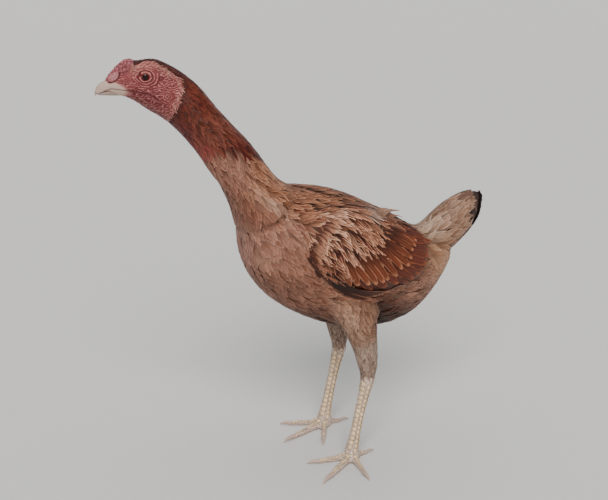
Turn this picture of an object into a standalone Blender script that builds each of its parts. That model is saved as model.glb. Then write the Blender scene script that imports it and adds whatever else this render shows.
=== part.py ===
"""Life-size still model of a lean, long-necked game hen standing on a floor.

The hen faces -X, its left side is towards -Y and +Z is up; all lengths are metres.
Every solid is a loft through cross-sections. A section is given in the side view, as
distance forward from the middle of the body and height above the floor, with its half
width. The neck and head are designed straight and then turned to the hen's right.
"""

import math
from dataclasses import dataclass

import bmesh
import bpy
import numpy as np
from mathutils import Vector

# ---------------------------------------------------------------- driving dimensions
GAP = 0.0003            # clearance between neighbouring solids
TURN_START = 0.040      # forward distance where the neck starts to turn
TURN_END = 0.130        # forward distance where the turn is complete
HEAD_TURN = math.radians(20.0)
EYE_RADIUS = 0.0058
EYE_FORWARD = 0.1622
EYE_HEIGHT = 0.4366
EYE_DEPTH = 0.0040      # eyeball centre below the face
WING_THICKNESS = 0.0085
WING_RIM = 0.0016       # thickness of the folded wing's edge
STANCE = 0.043          # distance of each leg from the middle plane
RIGHT_LEG_BACK = 0.008  # how far the right leg stands behind the left one
ANKLE_FORWARD = -0.0385     # where the toes meet, in the hen's side view
WEB_REACH = 0.017           # how far the skin between the front toes goes
WEB_THICKNESS = 0.0032
WEB_LEVEL = 0.0009          # underside of the web above the floor
WEB_BACK = 0.004            # how far the web starts behind the meeting of the toes
SOLE_DEPTH = 0.0006         # how far the rounded soles reach before they are flattened
CLAW_CLEARANCE = 0.0008     # lowest point of a claw above the floor
LEFT = -1
RIGHT = 1
SIDES = {"left": LEFT, "right": RIGHT}


@dataclass(frozen=True)
class Section:
    """Cross-section between two points of the side view.

    first and last are (forward, height): the upper and lower edge of a lying form, the
    front and back edge of an upright one. waist is where the form is widest, as the
    share of the way from last to first.
    """

    first: tuple
    last: tuple
    half_width: float
    waist: float = 0.5
    lateral: float = 0.0


def upright(forward, top, bottom, half_width, waist=0.55):
    """Section of the trunk that stands square across the body."""
    return Section((forward, top), (forward, bottom), half_width, waist)


TRUNK = (
    upright(0.0700, 0.2690, 0.2490, 0.0110),
    upright(0.0685, 0.2830, 0.2360, 0.0225),
    upright(0.0610, 0.2970, 0.2165, 0.0345),
    upright(0.0440, 0.3075, 0.1935, 0.0450),
    upright(0.0190, 0.3110, 0.1735, 0.0530),
    upright(-0.0100, 0.3070, 0.1570, 0.0570),
    upright(-0.0350, 0.3000, 0.1470, 0.0580),
    upright(-0.0650, 0.2860, 0.1405, 0.0560),
    upright(-0.0920, 0.2680, 0.1395, 0.0515),
    upright(-0.1180, 0.2530, 0.1450, 0.0440),
    upright(-0.1400, 0.2430, 0.1590, 0.0350),
    upright(-0.1590, 0.2350, 0.1790, 0.0250),
    upright(-0.1740, 0.2240, 0.1990, 0.0130),
)

HEAD = (
    Section((0.2010, 0.4300), (0.1960, 0.4180), 0.0055),
    Section((0.1955, 0.4350), (0.1900, 0.4158), 0.0085),
    Section((0.1860, 0.4410), (0.1820, 0.4135), 0.0118),
    Section((0.1760, 0.4470), (0.1720, 0.4080), 0.0147),
    Section((0.1650, 0.4508), (0.1620, 0.4005), 0.0172),
    Section((0.1530, 0.4512), (0.1505, 0.3935), 0.0184),
    Section((0.1390, 0.4450), (0.1410, 0.3860), 0.0186),
)

NECK = (
    Section((0.1390, 0.4450), (0.1410, 0.3860), 0.0186),
    Section((0.1235, 0.4345), (0.1320, 0.3765), 0.0192),
    Section((0.1085, 0.4200), (0.1215, 0.3640), 0.0196),
    Section((0.0930, 0.3995), (0.1130, 0.3520), 0.0198),
    Section((0.0820, 0.3865), (0.1075, 0.3425), 0.0202),
    Section((0.0705, 0.3735), (0.1025, 0.3335), 0.0216),
    Section((0.0610, 0.3630), (0.0945, 0.3230), 0.0240),
    Section((0.0460, 0.3405), (0.0880, 0.3095), 0.0300),
    Section((0.0330, 0.3225), (0.0815, 0.2930), 0.0380),
    Section((0.0180, 0.3120), (0.0760, 0.2700), 0.0455),
)

TAIL = (
    Section((-0.1300, 0.2400), (-0.1400, 0.1980), 0.0215),
    Section((-0.1480, 0.2480), (-0.1660, 0.2060), 0.0225),
    Section((-0.1640, 0.2615), (-0.1830, 0.2160), 0.0205),
    Section((-0.1830, 0.2725), (-0.1975, 0.2275), 0.0165),
    Section((-0.2030, 0.2775), (-0.2090, 0.2375), 0.0110),
    Section((-0.2140, 0.2770), (-0.2145, 0.2450), 0.0060),
    Section((-0.2185, 0.2710), (-0.2180, 0.2570), 0.0020),
)

WING = (
    Section((0.0230, 0.2760), (0.0230, 0.2620), 0.0),
    Section((0.0195, 0.2850), (0.0175, 0.2450), 0.0),
    Section((0.0060, 0.2915), (0.0030, 0.2250), 0.0),
    Section((-0.0240, 0.2930), (-0.0270, 0.2095), 0.0),
    Section((-0.0600, 0.2835), (-0.0640, 0.2005), 0.0),
    Section((-0.0930, 0.2670), (-0.0960, 0.2020), 0.0),
    Section((-0.1170, 0.2520), (-0.1180, 0.2120), 0.0),
    Section((-0.1300, 0.2380), (-0.1300, 0.2260), 0.0),
)

THIGH = (
    Section((-0.0050, 0.2000), (-0.0700, 0.1860), 0.0215, lateral=0.0350),
    Section((-0.0160, 0.1760), (-0.0665, 0.1620), 0.0205, lateral=0.0390),
    Section((-0.0290, 0.1520), (-0.0655, 0.1420), 0.0165, lateral=0.0418),
    Section((-0.0395, 0.1290), (-0.0665, 0.1225), 0.0125, lateral=STANCE),
    Section((-0.0445, 0.1110), (-0.0665, 0.1060), 0.0098, lateral=STANCE),
    Section((-0.0475, 0.1015), (-0.0640, 0.0985), 0.0080, lateral=STANCE),
)

SHANK = (
    Section((-0.0475, 0.1010), (-0.0640, 0.0980), 0.0076, lateral=STANCE),
    Section((-0.0480, 0.0950), (-0.0640, 0.0915), 0.0079, lateral=STANCE),
    Section((-0.0470, 0.0860), (-0.0605, 0.0825), 0.0064, lateral=STANCE),
    Section((-0.0440, 0.0710), (-0.0560, 0.0685), 0.0055, lateral=STANCE),
    Section((-0.0400, 0.0500), (-0.0512, 0.0480), 0.0052, lateral=STANCE),
    Section((-0.0355, 0.0300), (-0.0472, 0.0285), 0.0055, lateral=STANCE),
    Section((-0.0320, 0.0175), (-0.0460, 0.0165), 0.0066, lateral=STANCE),
    Section((-0.0310, 0.0135), (-0.0455, 0.0125), 0.0070, lateral=STANCE),
)

PALM = (
    Section((-0.0310, 0.0128), (-0.0455, 0.0118), 0.0072, lateral=STANCE),
    Section((-0.0300, 0.0095), (-0.0465, 0.0085), 0.0082, lateral=STANCE),
    Section((-0.0295, 0.0050), (-0.0470, 0.0045), 0.0088, lateral=STANCE),
    Section((-0.0300, -SOLE_DEPTH), (-0.0465, -SOLE_DEPTH), 0.0082, lateral=STANCE),
)

COMB = (
    Section((0.2022, 0.4325), (0.1985, 0.4250), 0.0024),
    Section((0.1965, 0.4398), (0.1915, 0.4275), 0.0048),
    Section((0.1890, 0.4470), (0.1840, 0.4320), 0.0066),
    Section((0.1810, 0.4522), (0.1775, 0.4370), 0.0070),
    Section((0.1755, 0.4518), (0.1735, 0.4400), 0.0056),
    Section((0.1715, 0.4495), (0.1705, 0.4430), 0.0030),
)

BILL_UPPER = (
    Section((0.1900, 0.4290), (0.1890, 0.4226), 0.0062, waist=0.15),
    Section((0.1985, 0.4310), (0.1975, 0.4216), 0.0060, waist=0.12),
    Section((0.2045, 0.4296), (0.2035, 0.4203), 0.0049, waist=0.10),
    Section((0.2095, 0.4262), (0.2085, 0.4186), 0.0035, waist=0.10),
    Section((0.2124, 0.4215), (0.2112, 0.4160), 0.0020, waist=0.15),
    Section((0.2130, 0.4172), (0.2122, 0.4150), 0.0009, waist=0.40),
)

BILL_LOWER = (
    Section((0.1880, 0.4220), (0.1870, 0.4148), 0.0056, waist=0.85),
    Section((0.1960, 0.4211), (0.1950, 0.4150), 0.0050, waist=0.85),
    Section((0.2030, 0.4197), (0.2025, 0.4153), 0.0036, waist=0.85),
    Section((0.2080, 0.4181), (0.2078, 0.4157), 0.0020, waist=0.85),
    Section((0.2098, 0.4172), (0.2098, 0.4160), 0.0008, waist=0.85),
)


@dataclass(frozen=True)
class Toe:
    """Toe lying on the floor: turn from the hen's heading towards its left."""

    turn: float
    length: float
    width: float
    height: float
    claw: float


FEET = {
    "left": {
        "inner": Toe(-10.0, 0.040, 0.0078, 0.0086, 0.0115),
        "middle": Toe(35.0, 0.052, 0.0088, 0.0094, 0.0135),
        "outer": Toe(84.0, 0.041, 0.0078, 0.0086, 0.0110),
        "hind": Toe(192.0, 0.021, 0.0066, 0.0074, 0.0100),
    },
    "right": {
        "inner": Toe(62.0, 0.040, 0.0078, 0.0086, 0.0115),
        "middle": Toe(19.0, 0.052, 0.0088, 0.0094, 0.0135),
        "outer": Toe(-24.0, 0.041, 0.0078, 0.0086, 0.0110),
        "hind": Toe(180.0, 0.021, 0.0066, 0.0074, 0.0100),
    },
}

# ---------------------------------------------------------------- placing
def straight(forward, lateral, height):
    """Point of the trunk and legs; lateral is positive to the hen's right."""
    return (-forward, lateral, height)


def turned(forward, lateral, height):
    """Point of the neck and head, after their turn to the right."""
    bend = HEAD_TURN / (TURN_END - TURN_START)
    along = min(max(forward - TURN_START, 0.0), TURN_END - TURN_START)
    heading = bend * along
    x = -min(forward, TURN_START) - math.sin(heading) / bend
    y = (1.0 - math.cos(heading)) / bend
    beyond = max(forward - TURN_END, 0.0)
    x -= beyond * math.cos(heading)
    y += beyond * math.sin(heading)
    return (x + lateral * math.sin(heading), y + lateral * math.cos(heading), height)


# ---------------------------------------------------------------- sections to meshes
def as_row(section):
    """Numbers of a section, in the order that smooth_rows works on."""
    return (*section.first, *section.last, section.half_width, section.waist, section.lateral)


def smooth_rows(sections, count):
    """Rows of count sections on a smooth curve through the given ones."""
    rows = np.array([as_row(section) for section in sections])
    steps = np.linalg.norm(np.diff(rows[:, :5], axis=0), axis=1)
    knots = np.concatenate(([0.0], np.cumsum(np.sqrt(steps))))
    slopes = np.gradient(rows, knots, axis=0)
    result = []
    for position in np.linspace(0.0, knots[-1], count):
        index = min(int(np.searchsorted(knots, position, side="right")) - 1, len(knots) - 2)
        span = knots[index + 1] - knots[index]
        t = (position - knots[index]) / span
        start, end = rows[index], rows[index + 1]
        rise, fall = slopes[index] * span, slopes[index + 1] * span
        cubic = 2 * t**3 - 3 * t**2 + 1
        result.append(
            cubic * start
            + (t**3 - 2 * t**2 + t) * rise
            + (1 - cubic) * end
            + (t**3 - t**2) * fall
        )
    return np.array(result)


def ring_points(row, segments, place):
    """Points round one section, placed in space."""
    first, last = row[0:2], row[2:4]
    half_width, waist, lateral = row[4:7]
    middle = last + (first - last) * waist
    points = []
    for index in range(segments):
        angle = math.tau * index / segments
        reach = first if math.cos(angle) >= 0.0 else last
        level = middle + (reach - middle) * abs(math.cos(angle))
        side = lateral + half_width * math.sin(angle)
        points.append(place(level[0], side, level[1]))
    return points


def material(name, colour, roughness):
    """Principled material, made once for each name."""
    if name in bpy.data.materials:
        return bpy.data.materials[name]
    made = bpy.data.materials.new(name)
    made.use_nodes = True
    shader = made.node_tree.nodes["Principled BSDF"]
    shader.inputs["Base Color"].default_value = (*colour, 1.0)
    shader.inputs["Roughness"].default_value = roughness
    shader.inputs["Metallic"].default_value = 0.0
    return made


def solid(name, vertices, faces, finish):
    """Closed object with its faces turned outwards and shaded smooth."""
    mesh = bpy.data.meshes.new(name)
    mesh.from_pydata(vertices, [], faces)
    work = bmesh.new()
    work.from_mesh(mesh)
    bmesh.ops.recalc_face_normals(work, faces=work.faces)
    work.to_mesh(mesh)
    work.free()
    mesh.shade_smooth()
    mesh.materials.append(finish)
    made = bpy.data.objects.new(name, mesh)
    bpy.context.collection.objects.link(made)
    return made


def strip_faces(rings, segments):
    """Quads between neighbouring rings, and a fan to a pole at each end."""
    faces = []
    for ring in range(rings - 1):
        for index in range(segments):
            here = ring * segments + index
            beside = ring * segments + (index + 1) % segments
            faces.append((here, beside, beside + segments, here + segments))
    start_pole = rings * segments
    last_ring = (rings - 1) * segments
    for index in range(segments):
        beside = (index + 1) % segments
        faces.append((beside, index, start_pole))
        faces.append((last_ring + index, last_ring + beside, start_pole + 1))
    return faces


def loft(name, sections, finish, rings=12, segments=16, place=straight):
    """Closed round form through the sections."""
    rows = smooth_rows(sections, rings)
    vertices = []
    for row in rows:
        vertices.extend(ring_points(row, segments, place))
    for row in (rows[0], rows[-1]):
        middle = (row[0:2] + row[2:4]) / 2.0
        vertices.append(place(middle[0], row[6], middle[1]))
    return solid(name, vertices, strip_faces(rings, segments), finish)


def leg_shift(side):
    """How far forward a leg stands of its place in the section tables."""
    return -RIGHT_LEG_BACK if side == RIGHT else 0.0


def leg_sections(sections, side):
    """Sections of a leg, moved to its side and place."""
    moved = []
    for section in sections:
        first = (section.first[0] + leg_shift(side), section.first[1])
        last = (section.last[0] + leg_shift(side), section.last[1])
        moved.append(Section(first, last, section.half_width, section.waist, side * section.lateral))
    return tuple(moved)


# ---------------------------------------------------------------- cutting and joining
def guide(made):
    """Mark an object as a cutter, which is no part of the hen."""
    made.hide_render = True
    made.display_type = "WIRE"
    return made


def grown_copy(source, distance):
    """Cutter with the source's shape, larger by distance all round."""
    mesh = source.data.copy()
    normals = [vertex.normal.copy() for vertex in mesh.vertices]
    for vertex, normal in zip(mesh.vertices, normals):
        vertex.co += normal * distance
    made = bpy.data.objects.new(source.name + "_clearance", mesh)
    bpy.context.collection.objects.link(made)
    return guide(made)


def combine(target, other, operation):
    """Boolean of the target with a guide object."""
    step = target.modifiers.new(operation.lower() + "_" + other.name, "BOOLEAN")
    step.operation = operation
    step.solver = "EXACT"
    step.object = other
    return target


def sphere(name, centre, radius, finish, around=14, down=8):
    """Ball with its centre at the given point."""
    vertices = []
    for row in range(1, down):
        polar = math.pi * row / down
        for index in range(around):
            angle = math.tau * index / around
            offset = (
                radius * math.sin(polar) * math.cos(angle),
                radius * math.sin(polar) * math.sin(angle),
                radius * math.cos(polar),
            )
            vertices.append(tuple(a + b for a, b in zip(centre, offset)))
    vertices.append((centre[0], centre[1], centre[2] + radius))
    vertices.append((centre[0], centre[1], centre[2] - radius))
    return solid(name, vertices, strip_faces(down - 1, around), finish)


# ---------------------------------------------------------------- trunk and wings
class TrunkSurface:
    """Side of the trunk as a function of the place in the side view."""

    def __init__(self, samples=160):
        self.rows = smooth_rows(TRUNK, samples)[::-1]

    def read(self, forward):
        """Top, bottom, half width and widest level at a distance forward."""
        known = self.rows[:, 0]
        top = np.interp(forward, known, self.rows[:, 1])
        bottom = np.interp(forward, known, self.rows[:, 3])
        half_width = np.interp(forward, known, self.rows[:, 4])
        waist = np.interp(forward, known, self.rows[:, 5])
        return top, bottom, half_width, bottom + (top - bottom) * waist

    def shape(self, forward, lateral, height):
        """Value that is zero on the surface and grows outwards."""
        top, bottom, half_width, level = self.read(forward)
        reach = top - level if height > level else level - bottom
        return (lateral / half_width) ** 2 + ((height - level) / reach) ** 2 - 1.0

    def point(self, forward, height):
        """Point of the right side and its outward direction, in the side view's axes."""
        top, bottom, half_width, level = self.read(forward)
        reach = top - level if height > level else level - bottom
        share = min(abs(height - level) / reach, 0.985)
        lateral = half_width * math.sqrt(1.0 - share**2)
        step = 0.0005
        slope = Vector((
            self.shape(forward + step, lateral, height) - self.shape(forward - step, lateral, height),
            self.shape(forward, lateral + step, height) - self.shape(forward, lateral - step, height),
            self.shape(forward, lateral, height + step) - self.shape(forward, lateral, height - step),
        ))
        return Vector((forward, lateral, height)), slope.normalized()


def wing(name, side, surface, finish, along=17, across=8):
    """Folded wing: a shell that follows the trunk and is thickest in its middle."""
    rows = smooth_rows(WING, along)
    outer = []
    inner = []
    for step, row in enumerate(rows):
        lengthwise = 1.0 - (2.0 * step / (along - 1) - 1.0) ** 6
        for index in range(across):
            share = index / (across - 1)
            crosswise = 1.0 - (2.0 * share - 1.0) ** 6
            spot = row[2:4] + (row[0:2] - row[2:4]) * share
            point, outwards = surface.point(spot[0], spot[1])
            depth = WING_RIM + (WING_THICKNESS - WING_RIM) * min(lengthwise, crosswise)
            near = point + outwards * GAP * 3.0
            far = near + outwards * depth
            inner.append(straight(near[0], side * near[1], near[2]))
            outer.append(straight(far[0], side * far[1], far[2]))
    return solid(name, outer + inner, shell_faces(along, across), finish)


def shell_faces(along, across):
    """Quads of two grids of points and of the rim that joins them."""
    size = along * across
    faces = []
    for step in range(along - 1):
        for index in range(across - 1):
            here = step * across + index
            quad = (here, here + 1, here + across + 1, here + across)
            faces.append(quad)
            faces.append(tuple(size + corner for corner in reversed(quad)))
    border = [index for index in range(across)]
    border += [step * across + across - 1 for step in range(1, along)]
    border += [(along - 1) * across + index for index in range(across - 2, -1, -1)]
    border += [step * across for step in range(along - 2, 0, -1)]
    for here, beside in zip(border, border[1:] + border[:1]):
        faces.append((here, size + here, size + beside, beside))
    return faces


# ---------------------------------------------------------------- feet
def foot_frame(side, turn):
    """Placing of a toe: forward runs along the toe from where the toes meet."""
    heading = math.radians(turn)

    def place(forward, lateral, height):
        ahead = forward * math.cos(heading) + lateral * math.sin(heading)
        across = lateral * math.cos(heading) - forward * math.sin(heading)
        return straight(ANKLE_FORWARD + leg_shift(side) + ahead, side * STANCE + across, height)

    return place


def toe_sections(toe):
    """Sections of a toe from its root to the start of its claw, swollen at the joints."""
    sections = []
    for step in range(7):
        share = step / 6.0
        swell = 1.0 + 0.07 * math.cos(share * 3.0 * math.tau)
        height = toe.height * (1.0 - 0.36 * share) * swell
        half_width = toe.width * (1.0 - 0.30 * share) * swell / 2.0
        forward = toe.length * share
        sections.append(Section((forward, height), (forward, -SOLE_DEPTH), half_width, 0.45))
    return tuple(sections)


def claw_sections(toe):
    """Sections of a claw that bends down to just above the floor."""
    start = toe.length + GAP
    top = toe.height * 0.66
    low = CLAW_CLEARANCE
    sections = [Section((start, top), (start, low), toe.width * 0.30)]
    for upper_reach, lower_reach, height, width in (
        (0.40, 0.30, 0.98, 0.24),
        (0.78, 0.66, 0.66, 0.14),
    ):
        first = (start + toe.claw * upper_reach, top * height)
        last = (start + toe.claw * lower_reach, low * 2.0)
        sections.append(Section(first, last, toe.width * width))
    tip = start + toe.claw
    sections.append(Section((tip, low * 2.0), (tip - toe.claw * 0.03, low), toe.width * 0.04))
    return tuple(sections)


def web(name, side, toes, finish):
    """Thin skin between neighbouring front toes, near their roots."""
    turns = [toes[key].turn for key in ("inner", "middle", "outer")]
    edge = []
    for first, second in zip(turns, turns[1:]):
        for share in (0.0, 0.5, 1.0):
            reach = WEB_REACH * (1.0 - 0.38 * math.sin(math.pi * share))
            if not edge or share > 0.0:
                edge.append((reach, first + (second - first) * share))
    bottom = [foot_frame(side, turn)(reach, 0.0, WEB_LEVEL) for reach, turn in edge]
    bottom.append(foot_frame(side, turns[1] + 180.0)(WEB_BACK, 0.0, WEB_LEVEL))
    top = [(x, y, z + WEB_THICKNESS) for x, y, z in bottom]
    count = len(bottom)
    faces = [tuple(range(count)), tuple(range(2 * count - 1, count - 1, -1))]
    for index in range(count):
        beside = (index + 1) % count
        faces.append((index, index + count, beside + count, beside))
    return solid(name, bottom + top, faces, finish)


def floor_cutter():
    """Block under the floor that flattens the soles."""
    lower = [(-0.2, -0.2, -0.02), (0.2, -0.2, -0.02), (0.2, 0.2, -0.02), (-0.2, 0.2, -0.02)]
    upper = [(x, y, 0.0) for x, y, _ in lower]
    faces = [(3, 2, 1, 0), (4, 5, 6, 7), (0, 1, 5, 4), (1, 2, 6, 5), (2, 3, 7, 6), (3, 0, 4, 7)]
    return guide(solid("floor_level", lower + upper, faces, material("guide", (0.5, 0.5, 0.5), 0.5)))


def foot(label, side, skin, horn, floor):
    """Pad, four toes and the web as one solid, with four claws of horn."""
    toes = FEET[label]
    made = loft("foot_" + label, leg_sections(PALM, side), skin, rings=6, segments=14)
    for key, toe in toes.items():
        place = foot_frame(side, toe.turn)
        piece = loft(f"toe_{label}_{key}", toe_sections(toe), skin, rings=10, segments=9, place=place)
        combine(made, guide(piece), "UNION")
        loft(f"claw_{label}_{key}", claw_sections(toe), horn, rings=5, segments=8, place=place)
    combine(made, guide(web("web_" + label, side, toes, skin)), "UNION")
    return combine(made, floor, "DIFFERENCE")


# ---------------------------------------------------------------- the hen
def build_head(skin, comb_skin, horn, eye):
    """Head with its comb, bill and eyes."""
    head = loft("head", HEAD, skin, rings=16, segments=20, place=turned)
    upper = loft("bill_upper", BILL_UPPER, horn, rings=10, segments=12, place=turned)
    lower = loft("bill_lower", BILL_LOWER, horn, rings=8, segments=12, place=turned)
    comb = loft("comb", COMB, comb_skin, rings=12, segments=14, place=turned)
    combine(comb, grown_copy(head, GAP), "DIFFERENCE")
    combine(comb, grown_copy(upper, GAP), "DIFFERENCE")
    for piece in (upper, lower):
        combine(head, grown_copy(piece, GAP), "DIFFERENCE")
    for label, side in SIDES.items():
        centre = turned(EYE_FORWARD, side * (face_half_width() - EYE_DEPTH), EYE_HEIGHT)
        ball = sphere("eye_" + label, centre, EYE_RADIUS, eye)
        combine(head, grown_copy(ball, GAP), "DIFFERENCE")
    return head


def face_half_width():
    """Half width of the head at the eyes."""
    rows = smooth_rows(HEAD, 80)
    middle = (rows[:, 0] + rows[:, 2]) / 2.0
    nearest = rows[np.argmin(np.abs(middle - EYE_FORWARD))]
    level = nearest[3] + (nearest[1] - nearest[3]) * nearest[5]
    share = (EYE_HEIGHT - level) / (nearest[1] - level)
    return nearest[4] * math.sqrt(1.0 - share**2)


def build_body(coat, dark_coat, tail_coat):
    """Trunk with the neck, tail and wings that lie against it."""
    trunk = loft("trunk", TRUNK, coat, rings=24, segments=22)
    clearance = grown_copy(trunk, GAP)
    shifted = tuple(
        Section((s.first[0] - GAP, s.first[1]), (s.last[0] - GAP, s.last[1]), s.half_width)
        for s in NECK
    )
    neck = loft("neck", shifted, dark_coat, rings=18, segments=20, place=turned)
    tail = loft("tail", TAIL, tail_coat, rings=12, segments=16)
    combine(neck, clearance, "DIFFERENCE")
    combine(tail, clearance, "DIFFERENCE")
    surface = TrunkSurface()
    for label, side in SIDES.items():
        wing("wing_" + label, side, surface, dark_coat)
    return clearance


def build_legs(clearance, coat, skin, horn):
    """Feathered thighs, scaled shanks and feet."""
    floor = floor_cutter()
    for label, side in SIDES.items():
        thigh = loft("thigh_" + label, leg_sections(THIGH, side), coat, rings=11, segments=16)
        combine(thigh, clearance, "DIFFERENCE")
        loft("shank_" + label, leg_sections(SHANK, side), skin, rings=12, segments=12)
        foot(label, side, skin, horn, floor)


def centre_on_floor():
    """Move everything so that the origin is under the middle of the hen's box."""
    view = bpy.context.evaluated_depsgraph_get()
    corners = []
    for made in bpy.data.objects:
        if not made.hide_render:
            shape = made.evaluated_get(view)
            corners.extend(shape.matrix_world @ Vector(corner) for corner in shape.bound_box)
    for axis in (0, 1):
        values = [corner[axis] for corner in corners]
        middle = (min(values) + max(values)) / 2.0
        for made in bpy.data.objects:
            made.location[axis] -= middle


def main():
    """Clear the scene and build the hen."""
    for leftover in list(bpy.data.objects):
        bpy.data.objects.remove(leftover, do_unlink=True)
    coat = material("rusty_feather", (0.36, 0.15, 0.085), 0.75)
    dark_coat = material("mahogany_feather", (0.17, 0.045, 0.03), 0.7)
    tail_coat = material("buff_feather", (0.42, 0.24, 0.14), 0.75)
    face_skin = material("bare_face_skin", (0.45, 0.09, 0.10), 0.55)
    comb_skin = material("comb_skin", (0.48, 0.10, 0.13), 0.5)
    leg_skin = material("scaled_leg_skin", (0.52, 0.43, 0.30), 0.55)
    horn = material("pale_horn", (0.60, 0.46, 0.34), 0.4)
    eye = material("eye_surface", (0.20, 0.08, 0.05), 0.1)
    build_head(face_skin, comb_skin, horn, eye)
    clearance = build_body(coat, dark_coat, tail_coat)
    build_legs(clearance, coat, leg_skin, horn)
    centre_on_floor()


main()
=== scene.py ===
"""A game hen in full dress: one skin, a coat of solid feathers, horn, eyes and a studio.

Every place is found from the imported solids. Sizes are in metres, and the hen's own
directions are forward, to the side and up. Her neck and head bend to her right.
"""
import logging
import math
from dataclasses import dataclass, field
from enum import Enum
from typing import Dict, List, Optional, Sequence, Tuple

import bmesh
import bpy
import numpy as np
from mathutils import Matrix, Vector, noise
from mathutils.bvhtree import BVHTree
from mathutils.geometry import barycentric_transform
from mathutils.kdtree import KDTree


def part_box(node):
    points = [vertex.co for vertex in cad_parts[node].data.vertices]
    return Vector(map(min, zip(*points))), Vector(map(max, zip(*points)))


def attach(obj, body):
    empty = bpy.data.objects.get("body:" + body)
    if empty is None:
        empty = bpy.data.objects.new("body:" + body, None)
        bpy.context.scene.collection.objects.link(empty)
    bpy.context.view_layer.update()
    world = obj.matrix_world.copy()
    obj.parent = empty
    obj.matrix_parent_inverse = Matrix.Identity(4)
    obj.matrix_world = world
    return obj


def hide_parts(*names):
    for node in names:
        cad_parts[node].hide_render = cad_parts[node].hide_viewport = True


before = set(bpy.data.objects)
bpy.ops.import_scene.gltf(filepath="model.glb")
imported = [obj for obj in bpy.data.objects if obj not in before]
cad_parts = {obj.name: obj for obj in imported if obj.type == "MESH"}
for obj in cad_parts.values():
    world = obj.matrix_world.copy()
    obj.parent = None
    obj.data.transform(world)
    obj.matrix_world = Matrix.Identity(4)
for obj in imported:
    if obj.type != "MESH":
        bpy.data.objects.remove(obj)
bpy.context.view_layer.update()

Rows = np.ndarray  # one row for each place, feather or vertex
Pair = Tuple[float, float]
Colour = Tuple[float, float, float]
Triple = Tuple[float, float, float]
Shape = bmesh.types.BMesh
Piece = bpy.types.Object
Material = bpy.types.Material
Socket = bpy.types.NodeSocket
Dice = np.random.Generator

LOG = logging.getLogger("game_hen")
ROOT = "root"
MM = 0.001
CM = 0.01
SIDES = {"left": -1.0, "right": 1.0}
SEED = 20
CLEAR_COLOUR = 1.32
CLEAR_DEPTH = 0.84
LUMA = (0.2126, 0.7152, 0.0722)
SAME_PLACE = 1e-6
TOES = ("inner", "middle", "outer", "hind")


def tint(red: float, green: float, blue: float) -> Colour:
    """Linear colour of the screen values red, green and blue, each 0 to 255.

    The colour is made stronger and deeper, because soft light washes it out.

    Args:
        red: Red, 0 to 255.
        green: Green, 0 to 255.
        blue: Blue, 0 to 255.

    Returns:
        Linear red, green and blue.
    """
    shares = (red / 255.0, green / 255.0, blue / 255.0)
    made = [c / 12.92 if c <= 0.04045 else ((c + 0.055) / 1.055) ** 2.4 for c in shares]
    grey = LUMA[0] * made[0] + LUMA[1] * made[1] + LUMA[2] * made[2]
    return tuple(CLEAR_DEPTH * max(grey + (c - grey) * CLEAR_COLOUR, 0.0) for c in made)


def ease(low: float, high: float, value: Rows) -> Rows:
    """Smooth step of value from 0 at low to 1 at high; low may be the larger one."""
    share = np.clip((value - low) / (high - low), 0.0, 1.0)
    return share * share * (3.0 - 2.0 * share)


def unit(vectors: Rows) -> Rows:
    """Rows of vectors scaled to length one."""
    return vectors / np.maximum(np.linalg.norm(vectors, axis=-1, keepdims=True), 1e-9)


def link(name: str, mesh: bpy.types.Mesh) -> Piece:
    """New object of the mesh in the scene, at the origin.

    Args:
        name: Name of the object.
        mesh: Its mesh.

    Returns:
        The object.
    """
    made = bpy.data.objects.new(name, mesh)
    bpy.context.scene.collection.objects.link(made)
    return made


def positions(vertices: Sequence) -> Rows:
    """Positions of vertices, one row each."""
    return np.array([tuple(v.co) for v in vertices])


def relax(shape: Shape, verts: Sequence, rounds: int = 1) -> None:
    """Move verts of shape half way to the mean of their neighbours, some rounds long.

    Args:
        shape: Mesh that the vertices belong to.
        verts: Vertices to move.
        rounds: How many times they move.
    """
    for _ in range(rounds):
        bmesh.ops.smooth_vert(shape, verts=verts, factor=0.5, use_axis_x=True, use_axis_y=True,
                              use_axis_z=True)


def smooth_mesh(name: str, shape: Shape, finish: Material) -> bpy.types.Mesh:
    """Smoothly shaded mesh of shape in its finish; shape is freed.

    Args:
        name: Name of the mesh.
        shape: Its form, which is freed.
        finish: Its material.

    Returns:
        The mesh.
    """
    mesh = bpy.data.meshes.new(name)
    shape.to_mesh(mesh)
    shape.free()
    for polygon in mesh.polygons:
        polygon.use_smooth = True
    mesh.materials.append(finish)
    return mesh


def put_colours(mesh: bpy.types.Mesh, name: str, rows: Rows) -> None:
    """Store one colour for each vertex of mesh as the attribute name.

    Args:
        mesh: Mesh to colour.
        name: Name of the attribute.
        rows: Colours, one row a vertex.
    """
    layer = mesh.color_attributes.new(name, "FLOAT_COLOR", "POINT")
    values = np.ones((len(rows), 4), np.float32)
    values[:, :3] = rows
    layer.data.foreach_set("color", values.ravel())


def put_values(mesh: bpy.types.Mesh, name: str, values: Rows) -> None:
    """Store one number for each vertex of mesh as the attribute name."""
    layer = mesh.attributes.new(name, "FLOAT", "POINT")
    layer.data.foreach_set("value", np.asarray(values, np.float32))


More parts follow.
